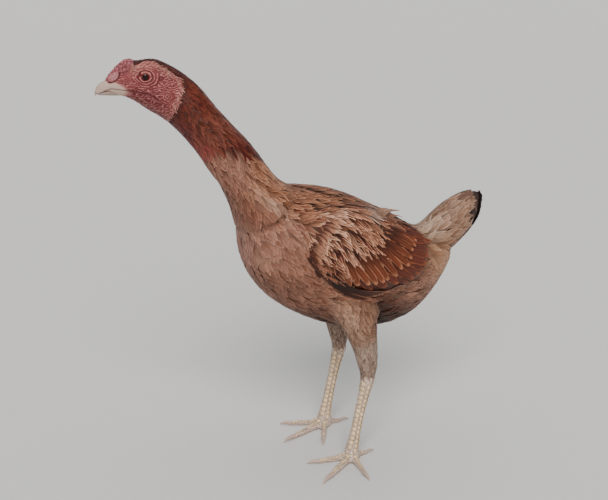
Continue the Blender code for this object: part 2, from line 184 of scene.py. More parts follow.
# ------------------------------------------------------------------ shader maths
class Signal:
    """Value socket of a material, with arithmetic that adds Math nodes."""

    def __init__(self, bench: "Bench", socket: Socket) -> None:
        """Wrap socket, which belongs to bench."""
        self.bench = bench
        self.socket = socket

    def maths(self, operation: str, *others: object, flip: bool = False) -> "Signal":
        """Math node of this value and the others.

        Args:
            operation: Name of the Math node's operation.
            others: Further values, Signals or numbers.
            flip: Whether this value comes after the first of the others.

        Returns:
            The node's result.
        """
        parts: List[object] = [self, *others]
        if flip:
            parts[0], parts[1] = parts[1], parts[0]
        inputs = dict(enumerate(parts))
        made = self.bench.node("ShaderNodeMath", {"operation": operation}, inputs)
        return Signal(self.bench, made.outputs[0])

    def __add__(self, other: object) -> "Signal":
        """Sum."""
        return self.maths("ADD", other)

    __radd__ = __add__

    def __mul__(self, other: object) -> "Signal":
        """Product."""
        return self.maths("MULTIPLY", other)

    __rmul__ = __mul__

    def __sub__(self, other: object) -> "Signal":
        """Difference."""
        return self.maths("SUBTRACT", other)

    def __rsub__(self, other: object) -> "Signal":
        """Difference the other way round."""
        return self.maths("SUBTRACT", other, flip=True)

    def __truediv__(self, other: object) -> "Signal":
        """Quotient."""
        return self.maths("DIVIDE", other)

    def __pow__(self, other: object) -> "Signal":
        """Power."""
        return self.maths("POWER", other)

    def step(self, low: float, high: float) -> "Signal":
        """Smooth step from 0 at low to 1 at high.

        Args:
            low: Value that gives 0.
            high: Value that gives 1.

        Returns:
            The step.
        """
        settings = {"interpolation_type": "SMOOTHSTEP"}
        inputs = {"Value": self, "From Min": low, "From Max": high}
        made = self.bench.node("ShaderNodeMapRange", settings, inputs)
        return Signal(self.bench, made.outputs["Result"])


class Bench:
    """Material with the one method that makes its nodes."""

    def __init__(self, name: str) -> None:
        """Start an empty material called name.

        Args:
            name: Name of the material.
        """
        self.material = bpy.data.materials.new(name)
        self.material.use_nodes = True
        self.tree = self.material.node_tree
        self.tree.nodes.clear()

    def node(self, kind: str, settings: Optional[dict] = None,
             inputs: Optional[dict] = None) -> bpy.types.Node:
        """Make a node.

        Args:
            kind: Type of the node.
            settings: Its properties.
            inputs: Values or links of its sockets by name or number.

        Returns:
            The new node.
        """
        made = self.tree.nodes.new(kind)
        for key, value in (settings or {}).items():
            setattr(made, key, value)
        for key, value in (inputs or {}).items():
            self.feed(made.inputs[key], value)
        return made

    def feed(self, socket: Socket, value: object) -> None:
        """Link value to socket if it is a Signal or socket, or set it there.

        Args:
            socket: Input of a node.
            value: Signal, socket, number or colour.
        """
        if isinstance(value, Signal):
            value = value.socket
        if isinstance(value, Socket):
            self.tree.links.new(value, socket)
        elif isinstance(value, tuple) and len(value) == 3 and socket.type == "RGBA":
            socket.default_value = (*value, 1.0)
        else:
            socket.default_value = value

    def number(self, name: str) -> Signal:
        """Number attribute of the piece called name."""
        made = self.node("ShaderNodeAttribute", {"attribute_name": name})
        return Signal(self, made.outputs["Fac"])

    def colour(self, name: str) -> Socket:
        """Colour attribute of the piece called name."""
        return self.node("ShaderNodeAttribute", {"attribute_name": name}).outputs["Color"]

    def vane(self) -> Tuple[Signal, Signal]:
        """Places across and along a vane, each 0 to 1.

        Returns:
            The two places.
        """
        chart = self.node("ShaderNodeUVMap", {"uv_map": "Vane"}).outputs["UV"]
        parts = self.node("ShaderNodeSeparateXYZ", None, {0: chart})
        return Signal(self, parts.outputs[0]), Signal(self, parts.outputs[1])

    def place(self) -> Socket:
        """Object coordinates."""
        return self.node("ShaderNodeTexCoord").outputs["Object"]

    def noise(self, scale: float, detail: float = 3.0, rough: float = 0.55,
              vector: Optional[Socket] = None) -> Signal:
        """Noise with scale repeats per metre, about 0.5 on the mean."""
        inputs = {"Vector": vector or self.place(), "Scale": scale, "Detail": detail, "Roughness": rough}
        return Signal(self, self.node("ShaderNodeTexNoise", None, inputs).outputs["Fac"])

    def cells(self, scale: float, feature: str = "F1") -> Signal:
        """Distance field of random cells of the given scale.

        Args:
            scale: Cells per metre.
            feature: Kind of distance that is measured.

        Returns:
            The distance.
        """
        inputs = {"Vector": self.place(), "Scale": scale}
        made = self.node("ShaderNodeTexVoronoi", {"feature": feature}, inputs)
        return Signal(self, made.outputs["Distance"])

    def blend(self, share: object, first: object, second: object, mode: str = "MIX") -> Socket:
        """Colour between first and second.

        Args:
            share: Share of the second colour.
            first: Colour or socket.
            second: Colour or socket.
            mode: Blend type of the Mix node.

        Returns:
            The mixed colour.
        """
        settings = {"data_type": "RGBA", "blend_type": mode}
        inputs = {0: share, 6: first, 7: second}
        return self.node("ShaderNodeMix", settings, inputs).outputs[2]

    def bump(self, height: Signal, strength: float, distance: float) -> Socket:
        """Normal that height raises by up to distance."""
        inputs = {"Height": height, "Strength": strength, "Distance": distance}
        return self.node("ShaderNodeBump", None, inputs).outputs["Normal"]

    def finish(self, colour: object, roughness: object, normal: object = None,
               **constants: float) -> Material:
        """Close the material with one shader.

        Args:
            colour: Base colour.
            roughness: Roughness.
            normal: Normal, if any.
            constants: Other sockets' numbers, with underscores for spaces.

        Returns:
            The material.
        """
        inputs = {"Base Color": colour, "Roughness": roughness}
        if normal is not None:
            inputs["Normal"] = normal
        for key, value in constants.items():
            inputs[key.replace("_", " ")] = value
        shader = self.node("ShaderNodeBsdfPrincipled", None, inputs)
        self.node("ShaderNodeOutputMaterial", None, {"Surface": shader.outputs[0]})
        return self.material


@dataclass(frozen=True)
class PlumageFinish:
    """Vane of a feather: coloured by the tract, paler at its edge and along its shaft, with painted shade
    at its root and outer rims.
    """

    name: str
    roughness: float = 0.62
    barbs: float = 46.0
    slant: float = 16.0
    edge_from: float = 0.35
    edge_share: float = 0.9
    shaft_share: float = 0.3
    sheen: float = 0.04
    barb_height: float = 0.00008

    def build(self) -> Material:
        """Make the material.

        Returns:
            The material.
        """
        bench = Bench(self.name)
        across, along = bench.vane()
        side = (across * 2.0 - 1.0).maths("ABSOLUTE")
        tone = bench.number("tone")
        drift = bench.noise(900.0, 2.0)
        grid = bench.node("ShaderNodeCombineXYZ", None, {
            0: across * 7.0 + tone * 61.0, 1: along * 1.6 + tone * 23.0, 2: tone * 97.0})
        streak = bench.noise(1.0, 3.0, 0.6, grid.outputs[0])
        wave = (along * self.barbs + side * self.slant + drift * 9.0).maths("SINE")
        rim = (side * along.step(0.1, 0.7)).maths("MAXIMUM", along ** 4.0)
        rim = (rim + (drift - 0.5) * 0.35 + (streak - 0.5) * 0.9).step(self.edge_from, 0.95)
        colour = bench.blend(rim * self.edge_share, bench.colour("plumage"), bench.colour("trim"))
        shaft = (1.0 - side.step(0.03, 0.13)) * (1.0 - along * 0.4)
        colour = bench.blend(shaft * self.shaft_share, colour, bench.colour("trim"))
        # Painted shade: the root of the vane and its outermost rims are darkened, standing in for the
        # shadow between overlapping feathers; the attribute gap sets how strong it is.
        dark = (1.0 - along.step(0.15, 0.85)).maths("MAXIMUM", side ** 6.0 * 0.55)
        shade = 1.0 - dark * bench.number("gap")
        level = shade * (0.95 + wave * 0.05) * tone * (0.9 + drift * 0.2)
        level = level * (0.55 + streak * 0.9)
        colour = bench.blend(1.0, colour, level, "MULTIPLY")
        lift = wave * 0.5 + (1.0 - side.step(0.0, 0.12)) * 1.2
        normal = bench.bump(lift, 0.25, self.barb_height)
        rough = self.roughness + (drift - 0.5) * 0.2
        return bench.finish(colour, rough, normal, Sheen_Weight=self.sheen, Sheen_Roughness=0.5,
                            Specular_IOR_Level=0.22)


@dataclass(frozen=True)
class HideFinish:
    """Skin: bare red face and comb, scaled legs, and dull skin under the coat, with painted highlights on
    the ridges of the folds and painted shade in their creases.
    """

    name: str = "bare_face_skin"
    # pale paints the highlights on fold ridges and small bumps; the next colour paints the shade in
    # creases and furrows.
    pale: Colour = tint(218, 156, 151)
    deep: Colour = tint(74, 20, 23)
    horny: Colour = tint(236, 218, 206)
    dusk: Colour = tint(150, 124, 110)
    lid_at: float = 4.7
    lid_step: float = 2.5
    relief: float = 0.00035

    def build(self) -> Material:
        """Make the material.

        Returns:
            The material.
        """
        bench = Bench(self.name)
        bare = bench.number("bare")
        rings = ((bench.number("eye_mm") - self.lid_at) * (2.0 * math.pi / self.lid_step))
        rings = rings.maths("COSINE")
        coils = (bench.number("ear_mm") * math.pi).maths("COSINE")
        wave = bench.number("wave").maths("SINE") * (bench.noise(330.0, 2.0).step(0.25, 0.6) * 0.6 + 0.4)
        fold = (bench.number("fold") + rings * bench.number("lids") + coils * bench.number("lobe") * 0.9
                + wave * bench.number("wrinkle") * 0.8)
        scale = bench.number("scale")
        grain = bench.cells(1500.0)
        broad = bench.noise(260.0, 4.0, 0.6)
        fine = bench.noise(2600.0, 3.0)
        flesh = bench.colour("plumage")
        # Painted light: fold ridges are paled as painted highlights and creases darkened as painted
        # shade.
        ridge = (fold * 0.5 + 0.5 + (broad - 0.5) * 0.7).step(0.5, 1.0)
        crease = 1.0 - (fold * 0.5 + 0.5 + (broad - 0.5) * 0.5).step(0.0, 0.5)
        red = bench.blend(ridge * (0.45 + broad * 0.5), flesh, self.pale)
        red = bench.blend(crease * 0.9, red, self.deep)
        # Painted shade in the furrows, and painted highlights between them and on the tops of the grain
        # bumps.
        wander = (bench.noise(560.0, 2.5, 0.5) * 2.0 - 1.0).maths("ABSOLUTE")
        mesh = (bench.noise(1150.0, 2.0, 0.5) * 2.0 - 1.0).maths("ABSOLUTE")
        painted_furrow_shade = (1.0 - wander.step(0.0, 0.11)).maths("MAXIMUM", (1.0 - mesh.step(0.0, 0.08)) * 0.4)
        red = bench.blend(wander.step(0.2, 0.5) * 0.3, red, self.pale)
        red = bench.blend(painted_furrow_shade * 0.6, red, self.deep)
        red = bench.blend((1.0 - grain.step(0.0, 0.5)) * 0.2, red, self.pale)
        plates = bench.cells(420.0, "DISTANCE_TO_EDGE")
        leg = bench.blend(1.0 - plates.step(0.0, 0.16), self.horny, self.dusk)
        leg = bench.blend((broad - 0.35) * 0.7, leg, self.dusk)
        colour = bench.blend(bare, flesh, red)
        colour = bench.blend(scale, colour, leg)
        lift = (grain * -0.5 + fine * 0.3 - painted_furrow_shade + fold * 0.8) * bare
        lift = lift + plates.step(0.0, 0.15) * scale * 1.6
        normal = bench.bump(lift, 0.5, self.relief)
        rough = 0.55 - bare * 0.1 + (fine - 0.5) * 0.15
        return bench.finish(colour, rough, normal, Specular_IOR_Level=0.4, Subsurface_Weight=0.06,
                            Subsurface_Scale=0.004)


@dataclass(frozen=True)
class ScuteFinish:
    """Pale horny plates of the shank and toes, with grey-brown edges."""

    name: str = "scaled_leg_skin"
    plate: Colour = tint(242, 217, 186)
    rim: Colour = tint(100, 76, 60)
    flush: Colour = tint(222, 196, 180)

    def build(self) -> Material:
        """Make the material.

        Returns:
            The material.
        """
        bench = Bench(self.name)
        across, along = bench.vane()
        side = (across * 2.0 - 1.0).maths("ABSOLUTE")
        mottle = bench.noise(420.0, 4.0)
        fine = bench.noise(3200.0, 2.0)
        border = side.maths("MAXIMUM", (along * 2.0 - 1.0).maths("ABSOLUTE"))
        border = (border + (mottle - 0.5) * 0.3).step(0.52, 0.98)
        colour = bench.blend(mottle.step(0.45, 0.8) * 0.3, self.plate, self.flush)
        colour = bench.blend(border * 0.8, colour, self.rim)
        colour = bench.blend(1.0, colour, bench.number("tone"), "MULTIPLY")
        normal = bench.bump(fine * 0.4 + mottle, 0.4, 0.0002)
        return bench.finish(colour, 0.42 + fine * 0.2, normal, Specular_IOR_Level=0.5)


@dataclass(frozen=True)
class HornFinish:
    """Pale horn of bill and claws, streaked along its growth, with painted shade in the nostrils and
    along the mouth line.
    """

    name: str = "pale_horn"
    light: Colour = tint(208, 186, 174)
    dark: Colour = tint(150, 124, 112)
    # ridge darkens the culmen and also paints the shade in the nostrils and along the mouth line.
    ridge: Colour = tint(92, 70, 62)
    flesh: Colour = tint(186, 128, 124)

    def build(self) -> Material:
        """Make the material.

        Returns:
            The material.
        """
        bench = Bench(self.name)
        stretched = bench.node("ShaderNodeMapping", None, {
            "Vector": bench.place(), "Rotation": (0.0, 0.35, 0.35),
            "Scale": (0.25, 1.0, 1.0)}).outputs[0]
        streaks = bench.noise(1500.0, 4.0, 0.6, stretched)
        cloud = bench.noise(240.0, 3.0)
        groove = bench.number("groove")
        colour = bench.blend((streaks - 0.25) * 0.9, self.light, self.dark)
        colour = bench.blend((cloud - 0.35) * 0.6, colour, self.dark)
        colour = bench.blend(bench.number("flush"), colour, self.flesh)
        colour = bench.blend(groove, colour, self.ridge)
        normal = bench.bump(streaks, 0.35, 0.00015)
        return bench.finish(colour, 0.34 + streaks * 0.14, normal, Coat_Weight=0.25, Coat_Roughness=0.2,
                            Subsurface_Weight=0.12, Subsurface_Scale=0.002)


@dataclass(frozen=True)
class EyeFinish:
    """Moist eyeball: dark pupil, red-brown iris with fine rays, and a dark rim."""

    name: str = "eye_surface"
    pupil: float = 3.2
    iris: float = 4.15

    def build(self) -> Material:
        """Make the material.

        Returns:
            The material.
        """
        bench = Bench(self.name)
        ring = bench.number("ring")
        rays = bench.noise(1400.0, 4.0, 0.7)
        colour = bench.blend((rays - 0.2) * 1.1, tint(88, 38, 34), tint(138, 76, 68))
        glow = ring.step(self.pupil, self.pupil + 0.9)
        colour = bench.blend(glow * 0.4, colour, tint(160, 100, 92))
        rim = ring.step(self.iris - 0.35, self.iris)
        colour = bench.blend(rim, colour, tint(70, 18, 16))
        core = ring.step(self.pupil - 0.18, self.pupil + 0.12)
        colour = bench.blend(core, tint(28, 5, 5), colour)
        normal = bench.bump(rays * core, 0.15, 0.0001)
        return bench.finish(colour, 0.4, normal, Coat_Weight=0.22, Coat_Roughness=0.08,
                            Specular_IOR_Level=0.15)


@dataclass(frozen=True)
class FloorFinish:
    """Matt pale floor."""

    name: str = "studio_floor"
    shade: Colour = tint(222, 221, 219)

    def build(self) -> Material:
        """Make the material.

        Returns:
            The material.
        """
        bench = Bench(self.name)
        cloud = bench.noise(3.0, 3.0)
        colour = bench.blend(cloud * 0.25, self.shade, tint(214, 213, 211))
        return bench.finish(colour, 0.85, None, Specular_IOR_Level=0.2)


# ------------------------------------------------------------------ the hen's own frame
@dataclass
class Anatomy:
    """Turns places on the hen into places in the frame and back.

    A place is forward along her middle line, to her right, and up. Her neck bends
    sideways between turn_start and turn_end.
    """

    turn_start: float = 0.040
    turn_end: float = 0.130
    head_turn: float = math.radians(20.0)
    eye_forward: float = 0.1622
    eye_height: float = 0.4366
    origin: Rows = field(default_factory=lambda: np.zeros(3))

    def __post_init__(self) -> None:
        """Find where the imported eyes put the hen."""
        centres = []
        for side in SIDES:
            low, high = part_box("eye_" + side)
            centres.append((np.array(low) + np.array(high)) / 2.0)
        middle = (centres[0] + centres[1]) / 2.0
        here = self.place(np.array([[self.eye_forward, 0.0, self.eye_height]]))[0]
        self.origin = middle - here

    def place(self, spots: Rows) -> Rows:
        """Points in the frame of spots given as forward, right, up.

        Args:
            spots: Places on the hen, one row each.

        Returns:
            Points, one row each.
        """
        forward, lateral, up = spots.T
        reach = self.turn_end - self.turn_start
        bend = self.head_turn / reach
        heading = bend * np.clip(forward - self.turn_start, 0.0, reach)
        beyond = np.maximum(forward - self.turn_end, 0.0)
        x = -np.minimum(forward, self.turn_start) - np.sin(heading) / bend
        x = x - beyond * np.cos(heading) + lateral * np.sin(heading)
        y = (1.0 - np.cos(heading)) / bend + beyond * np.sin(heading)
        y = y + lateral * np.cos(heading)
        return np.stack([x, y, up], 1) + self.origin

    def read(self, points: Rows) -> Tuple[Rows, Rows]:
        """Find what place points of the frame are at.

        Args:
            points: Points in the frame, one row each.

        Returns:
            Rows of forward, right, up, and the heading of the body there.
        """
        x, y, up = (points - self.origin).T
        radius = (self.turn_end - self.turn_start) / self.head_turn
        heading = np.arctan2(-(x + self.turn_start), radius - y)
        heading = np.where(x > -self.turn_start, 0.0, np.clip(heading, 0.0, self.head_turn))
        forward = self.turn_start + heading * radius
        lateral = radius - np.hypot(x + self.turn_start, radius - y)
        straight = x > -self.turn_start
        forward = np.where(straight, -x, forward)
        lateral = np.where(straight, y, lateral)
        end = self.place(np.array([[self.turn_end, 0.0, 0.0]]))[0] - self.origin
        ahead = (x - end[0]) * -math.cos(self.head_turn) + (y - end[1]) * math.sin(self.head_turn)
        aside = (x - end[0]) * math.sin(self.head_turn) + (y - end[1]) * math.cos(self.head_turn)
        beyond = (ahead > 0.0) & (up > 0.30)
        forward = np.where(beyond, self.turn_end + ahead, forward)
        lateral = np.where(beyond, aside, lateral)
        heading = np.where(beyond, self.head_turn, heading)
        return np.stack([forward, lateral, up], 1), heading

    def direction(self, lie: Rows, heading: Rows, side: Rows) -> Rows:
        """Directions in the frame of rows of back, out, up at the given headings.

        Args:
            lie: Rows of back, out and up.
            heading: Heading of the body at each.
            side: -1 on her left and 1 on her right.

        Returns:
            Directions of length one.
        """
        back, out, up = lie.T
        x = back * np.cos(heading) + out * side * np.sin(heading)
        y = -back * np.sin(heading) + out * side * np.cos(heading)
        return unit(np.stack([x, y, up], 1))

    def outward(self, side: float) -> Rows:
        """Direction straight out of the head on one side, -1 for her left."""
        return self.direction(np.array([[0.0, 1.0, 0.0]]), np.array([self.head_turn]),
                              np.array([side]))[0]

    def face(self, spots: Rows) -> Tuple[Rows, Rows, Rows]:
        """Millimetres forward, right and up from between the eyes."""
        return ((spots[:, 0] - self.eye_forward) / MM, spots[:, 1] / MM,
                (spots[:, 2] - self.eye_height) / MM)


class Solids:
    """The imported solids, ready for questions about where their surfaces are."""

    def __init__(self, names: Sequence[str]) -> None:
        """Read the surfaces of the solids in names.

        Args:
            names: Nodes to read.
        """
        self.names = list(names)
        points: List[tuple] = []
        faces: List[tuple] = []
        self.owner: List[int] = []
        for number, name in enumerate(self.names):
            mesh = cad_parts[name].data
            start = len(points)
            points.extend(tuple(v.co) for v in mesh.vertices)
            for face in mesh.polygons:
                faces.append(tuple(start + v for v in face.vertices))
                self.owner.append(number)
        self.tree = BVHTree.FromPolygons(points, faces)

    def owners(self, points: Rows) -> Rows:
        """Number of the solid that is nearest to each of rows of points."""
        return np.array([self.owner[self.tree.find_nearest(Vector(p))[2]] for p in points])


# ------------------------------------------------------------------ tracts of the coat
class Part(Enum):
    """Parts of the hen whose feathers are laid apart."""

    BODY = 0
    WING = 1
    LEG = 2


class Tip(Enum):
    """Outlines of a feather."""

    ROUND = 0
    POINTED = 1
    SQUARE = 2
    SOFT = 3


@dataclass(frozen=True)
class Tract:
    """Feathers of one kind round one place of the hen.

    at is forward and up in centimetres, reach how far the tract counts, lie the
    direction of its feathers (back, out, up), and the sizes are in millimetres.
    """

    part: Part
    at: Pair
    reach: float
    lie: Triple
    length: float
    half_width: float
    spacing: float
    depth: float
    girth: float
    main: Colour
    trim: Colour
    ragged: float = 0.15
    stretch: float = 2.2
    # gap: strength of the painted shade at the roots and rims of the tract's feathers, standing in for
    # the shadow between them
    gap: float = 0.45


@dataclass(frozen=True)
class Accent:
    """Feathers of another colour near a place of her left side or of both sides."""

    start: Pair
    end: Pair
    reach: float
    colour: Colour
    share: float = 0.85
    both: bool = False


ACCENTS = (
    Accent((5.2, 30.6), (3.5, 29.0), 0.55, tint(206, 176, 160), 0.62),
    Accent((7.8, 30.0), (8.0, 30.4), 0.28, tint(214, 186, 170)),
    Accent((-6.0, 27.4), (-7.6, 27.7), 0.5, tint(218, 200, 186)),
    Accent((7.1, 27.2), (6.9, 26.8), 0.6, tint(190, 150, 130), 0.5, True),
    Accent((5.8, 24.3), (5.6, 23.6), 0.6, tint(192, 152, 132), 0.55, True),
    Accent((-1.3, 19.4), (-3.9, 15.2), 0.7, tint(190, 164, 148), 0.5, True),
)

BODY, WING, LEG = Part.BODY, Part.WING, Part.LEG
TRACTS: Dict[str, Tract] = {
    "crown": Tract(BODY, (16.4, 45.0), 1.1, (1, 0, 0.1), 4.5, 0.7, 1.0, 0.48,
        16, tint(69, 33, 31), tint(103, 58, 55), 0.2, 1.8, 0.5),
    "occiput": Tract(BODY, (13.8, 44.4), 1.4, (0.85, 0, -0.5), 7, 0.9, 1.25, 0.64,
        17, tint(78, 36, 32), tint(111, 60, 52), 0.2, 2.0, 0.5),
    "cheek_rim": Tract(BODY, (12.9, 41.6), 1.2, (0.75, 0, -0.65), 7, 0.9, 1.25, 0.64,
        18, tint(94, 44, 37), tint(134, 76, 66), 0.2, 2.0, 0.5),
    "nape": Tract(BODY, (11.4, 42.0), 2.2, (0.72, 0, -0.70), 12, 1.4, 1.7, 0.61,
        18, tint(92, 43, 34), tint(135, 77, 63), 0.12, 2.4, 0.4),
    "throat": Tract(BODY, (13.3, 38.2), 1.5, (0.45, -0.1, -0.88), 10, 1.3, 1.6, 0.51,
        18, tint(95, 47, 46), tint(140, 75, 70), 0.12, 2.2, 0.4),
    "hackle": Tract(BODY, (10.2, 38.8), 2.4, (0.58, 0, -0.81), 18, 1.9, 2.1, 0.82,
        19, tint(103, 58, 47), tint(146, 96, 87), 0.06, 2.6, 0.4),
    "hackle_front": Tract(BODY, (12.0, 36.6), 1.6, (0.42, -0.1, -0.9), 15, 1.7, 2.0, 0.72,
        19, tint(106, 54, 50), tint(155, 86, 79), 0.1, 2.4, 0.4),
    "hackle_low": Tract(BODY, (8.6, 36.4), 1.7, (0.60, 0, -0.80), 22, 2.1, 2.4, 1.02,
        20, tint(69, 23, 17), tint(98, 42, 34), 0.1, 2.6, 0.5),
    "neck_base": Tract(BODY, (8.6, 33.0), 1.8, (0.50, 0, -0.87), 20, 2.3, 2.3, 1.02,
        24, tint(127, 90, 78), tint(165, 128, 114), 0.12, 2.6, 0.36),
    "mantle": Tract(BODY, (4.2, 32.0), 2.2, (0.80, 0.05, -0.6), 25, 2.3, 2.4, 1.13,
        30, tint(132, 90, 70), tint(186, 144, 124), 0.1, 3.2, 0.45),
    "shoulder": Tract(BODY, (5.6, 31.4), 1.4, (0.60, 0, -0.8), 23, 2.5, 2.5, 1.1,
        30, tint(158, 118, 99), tint(202, 164, 144), 0.12, 2.6, 0.36),
    "crop": Tract(BODY, (6.8, 29.8), 2.2, (0.40, 0, -0.92), 22, 2.9, 2.7, 1.13,
        40, tint(111, 74, 61), tint(144, 105, 92), 0.14, 2.3, 0.26),
    "breast_front": Tract(BODY, (6.6, 25.6), 2.4, (0.45, 0, -0.9), 23, 3.2, 2.9, 1.13,
        42, tint(141, 102, 90), tint(172, 137, 126), 0.14, 2.2, 0.22),
    "breast": Tract(BODY, (3.8, 25.6), 2.8, (0.62, 0, -0.78), 23, 3.2, 2.9, 1.18,
        48, tint(138, 99, 84), tint(172, 135, 119), 0.14, 2.2, 0.24),
    "breast_low": Tract(BODY, (3.6, 21.2), 2.8, (0.80, 0, -0.60), 24, 3.1, 2.9, 1.23,
        45, tint(117, 82, 69), tint(151, 114, 100), 0.16, 2.2, 0.26),
    "back": Tract(BODY, (-0.5, 31.0), 3.0, (0.98, 0.05, -0.15), 30, 2.0, 2.3, 1.4,
        50, tint(110, 67, 49), tint(186, 142, 120), 0.05, 4.4, 0.88),
    "saddle": Tract(BODY, (-7.0, 28.4), 3.6, (0.94, 0.08, -0.33), 31, 2.1, 2.4, 1.4,
        46, tint(104, 62, 47), tint(166, 121, 99), 0.06, 4.2, 0.8),
    "rump": Tract(BODY, (-11.6, 26.0), 2.0, (0.9, 0.1, -0.1), 24, 2.6, 2.6, 1.33,
        34, tint(152, 118, 98), tint(190, 160, 140), 0.35, 2.2, 0.4),
    "flank": Tract(BODY, (-2.0, 19.0), 3.0, (0.93, 0, -0.36), 24, 2.8, 2.8, 1.33,
        50, tint(122, 84, 69), tint(163, 126, 110), 0.2, 2.2, 0.3),
    # belly, vent and vent_side: their dark browns are partly the feathers' own colour and partly painted
    # shade of the underside.
    "belly": Tract(BODY, (-1.0, 15.8), 2.6, (0.97, 0, -0.2), 24, 2.8, 2.8, 1.43,
        44, tint(81, 51, 40), tint(108, 74, 63), 0.4, 2.1, 0.4),
    "vent": Tract(BODY, (-9.0, 15.4), 3.0, (0.97, 0, 0.12), 26, 3, 3, 1.54,
        36, tint(60, 32, 22), tint(85, 51, 39), 0.5, 2.1, 0.4),
    "vent_side": Tract(BODY, (-11.6, 18.8), 2.6, (0.93, 0, -0.25), 27, 3.2, 3.1, 1.54,
        34, tint(130, 94, 80), tint(168, 132, 117), 0.2, 2.2, 0.35),
    "undertail": Tract(BODY, (-15.4, 21.4), 2.2, (0.90, 0.1, -0.30), 28, 4.0, 3.6, 1.33,
        26, tint(153, 116, 95), tint(187, 152, 131), 0.16, 2.2, 0.4),
    "tail_base": Tract(BODY, (-14.6, 24.8), 1.8, (0.86, 0, 0.35), 30, 3.2, 2.5, 1.28,
        24, tint(158, 132, 114), tint(193, 172, 156), 0.1, 2.4, 0.5),
    "tail": Tract(BODY, (-17.8, 25.2), 2.2, (0.86, 0, 0.45), 36, 3.5, 2.6, 1.12,
        24, tint(130, 101, 86), tint(168, 142, 126), 0.08, 2.5, 0.5),
    "tail_top": Tract(BODY, (-18.3, 27.5), 2.2, (0.85, 0, 0.50), 32, 2.9, 2.3, 1.12,
        20, tint(85, 62, 52), tint(117, 93, 81), 0.08, 2.4, 0.6),
    "wing_ridge": Tract(WING, (-0.8, 28.6), 1.6, (0.88, 0, -0.35), 30, 2.0, 2.3, 1.3,
        40, tint(135, 87, 67), tint(245, 208, 186), 0.05, 4.6, 0.8),
    "wing_front": Tract(WING, (1.2, 25.6), 1.3, (0.60, 0, -0.80), 15, 1.7, 2.0, 1.04,
        26, tint(138, 94, 77), tint(232, 191, 169), 0.12, 2.8, 0.8),
    "wing_edge": Tract(WING, (0.2, 23.0), 1.2, (0.62, 0, -0.78), 16, 1.8, 2.2, 1.04,
        28, tint(120, 76, 60), tint(178, 132, 113), 0.12, 2.8, 0.6),
    "wing_coverts": Tract(WING, (-2.6, 25.0), 2.2, (0.52, 0, -0.85), 27, 1.95, 2.35, 1.4,
        50, tint(107, 61, 45), tint(239, 194, 170), 0.05, 4.6, 0.85),
    "wing_middle": Tract(WING, (-5.4, 25.8), 2.2, (0.62, 0, -0.78), 30, 2.0, 2.4, 1.4,
        55, tint(103, 55, 40), tint(222, 173, 148), 0.05, 4.8, 0.85),
    "wing_low": Tract(WING, (-3.2, 22.2), 1.6, (0.62, 0, -0.78), 20, 2.0, 2.4, 1.44,
        50, tint(101, 58, 44), tint(173, 128, 110), 0.06, 3.6, 0.75),
    "wing_rear": Tract(WING, (-9.6, 24.6), 2.4, (0.78, 0, -0.62), 28, 2.7, 3.4, 1.6,
        50, tint(86, 42, 30), tint(138, 88, 72), 0.06, 3.4, 0.6),
    "thigh_front": Tract(LEG, (-1.6, 17.4), 1.6, (0.45, 0, -0.9), 15, 2.1, 2.3, 0.92,
        22, tint(144, 108, 91), tint(178, 144, 126), 0.3, 2.2, 0.3),
    "thigh": Tract(LEG, (-3.6, 15.6), 1.8, (0.40, 0, -0.92), 14, 2, 2.2, 0.82,
        22, tint(144, 113, 96), tint(180, 150, 134), 0.25, 2.2, 0.3),
    "thigh_rear": Tract(LEG, (-6.0, 16.6), 1.8, (0.35, 0, -0.94), 15, 2.2, 2.4, 0.92,
        22, tint(128, 94, 77), tint(164, 130, 112), 0.35, 2.2, 0.35),
    "thigh_low": Tract(LEG, (-5.4, 12.4), 1.6, (0.15, 0, -0.98), 9, 1.4, 1.7, 0.51,
        11, tint(144, 122, 109), tint(182, 163, 153), 0.3, 2.0, 0.3),
}


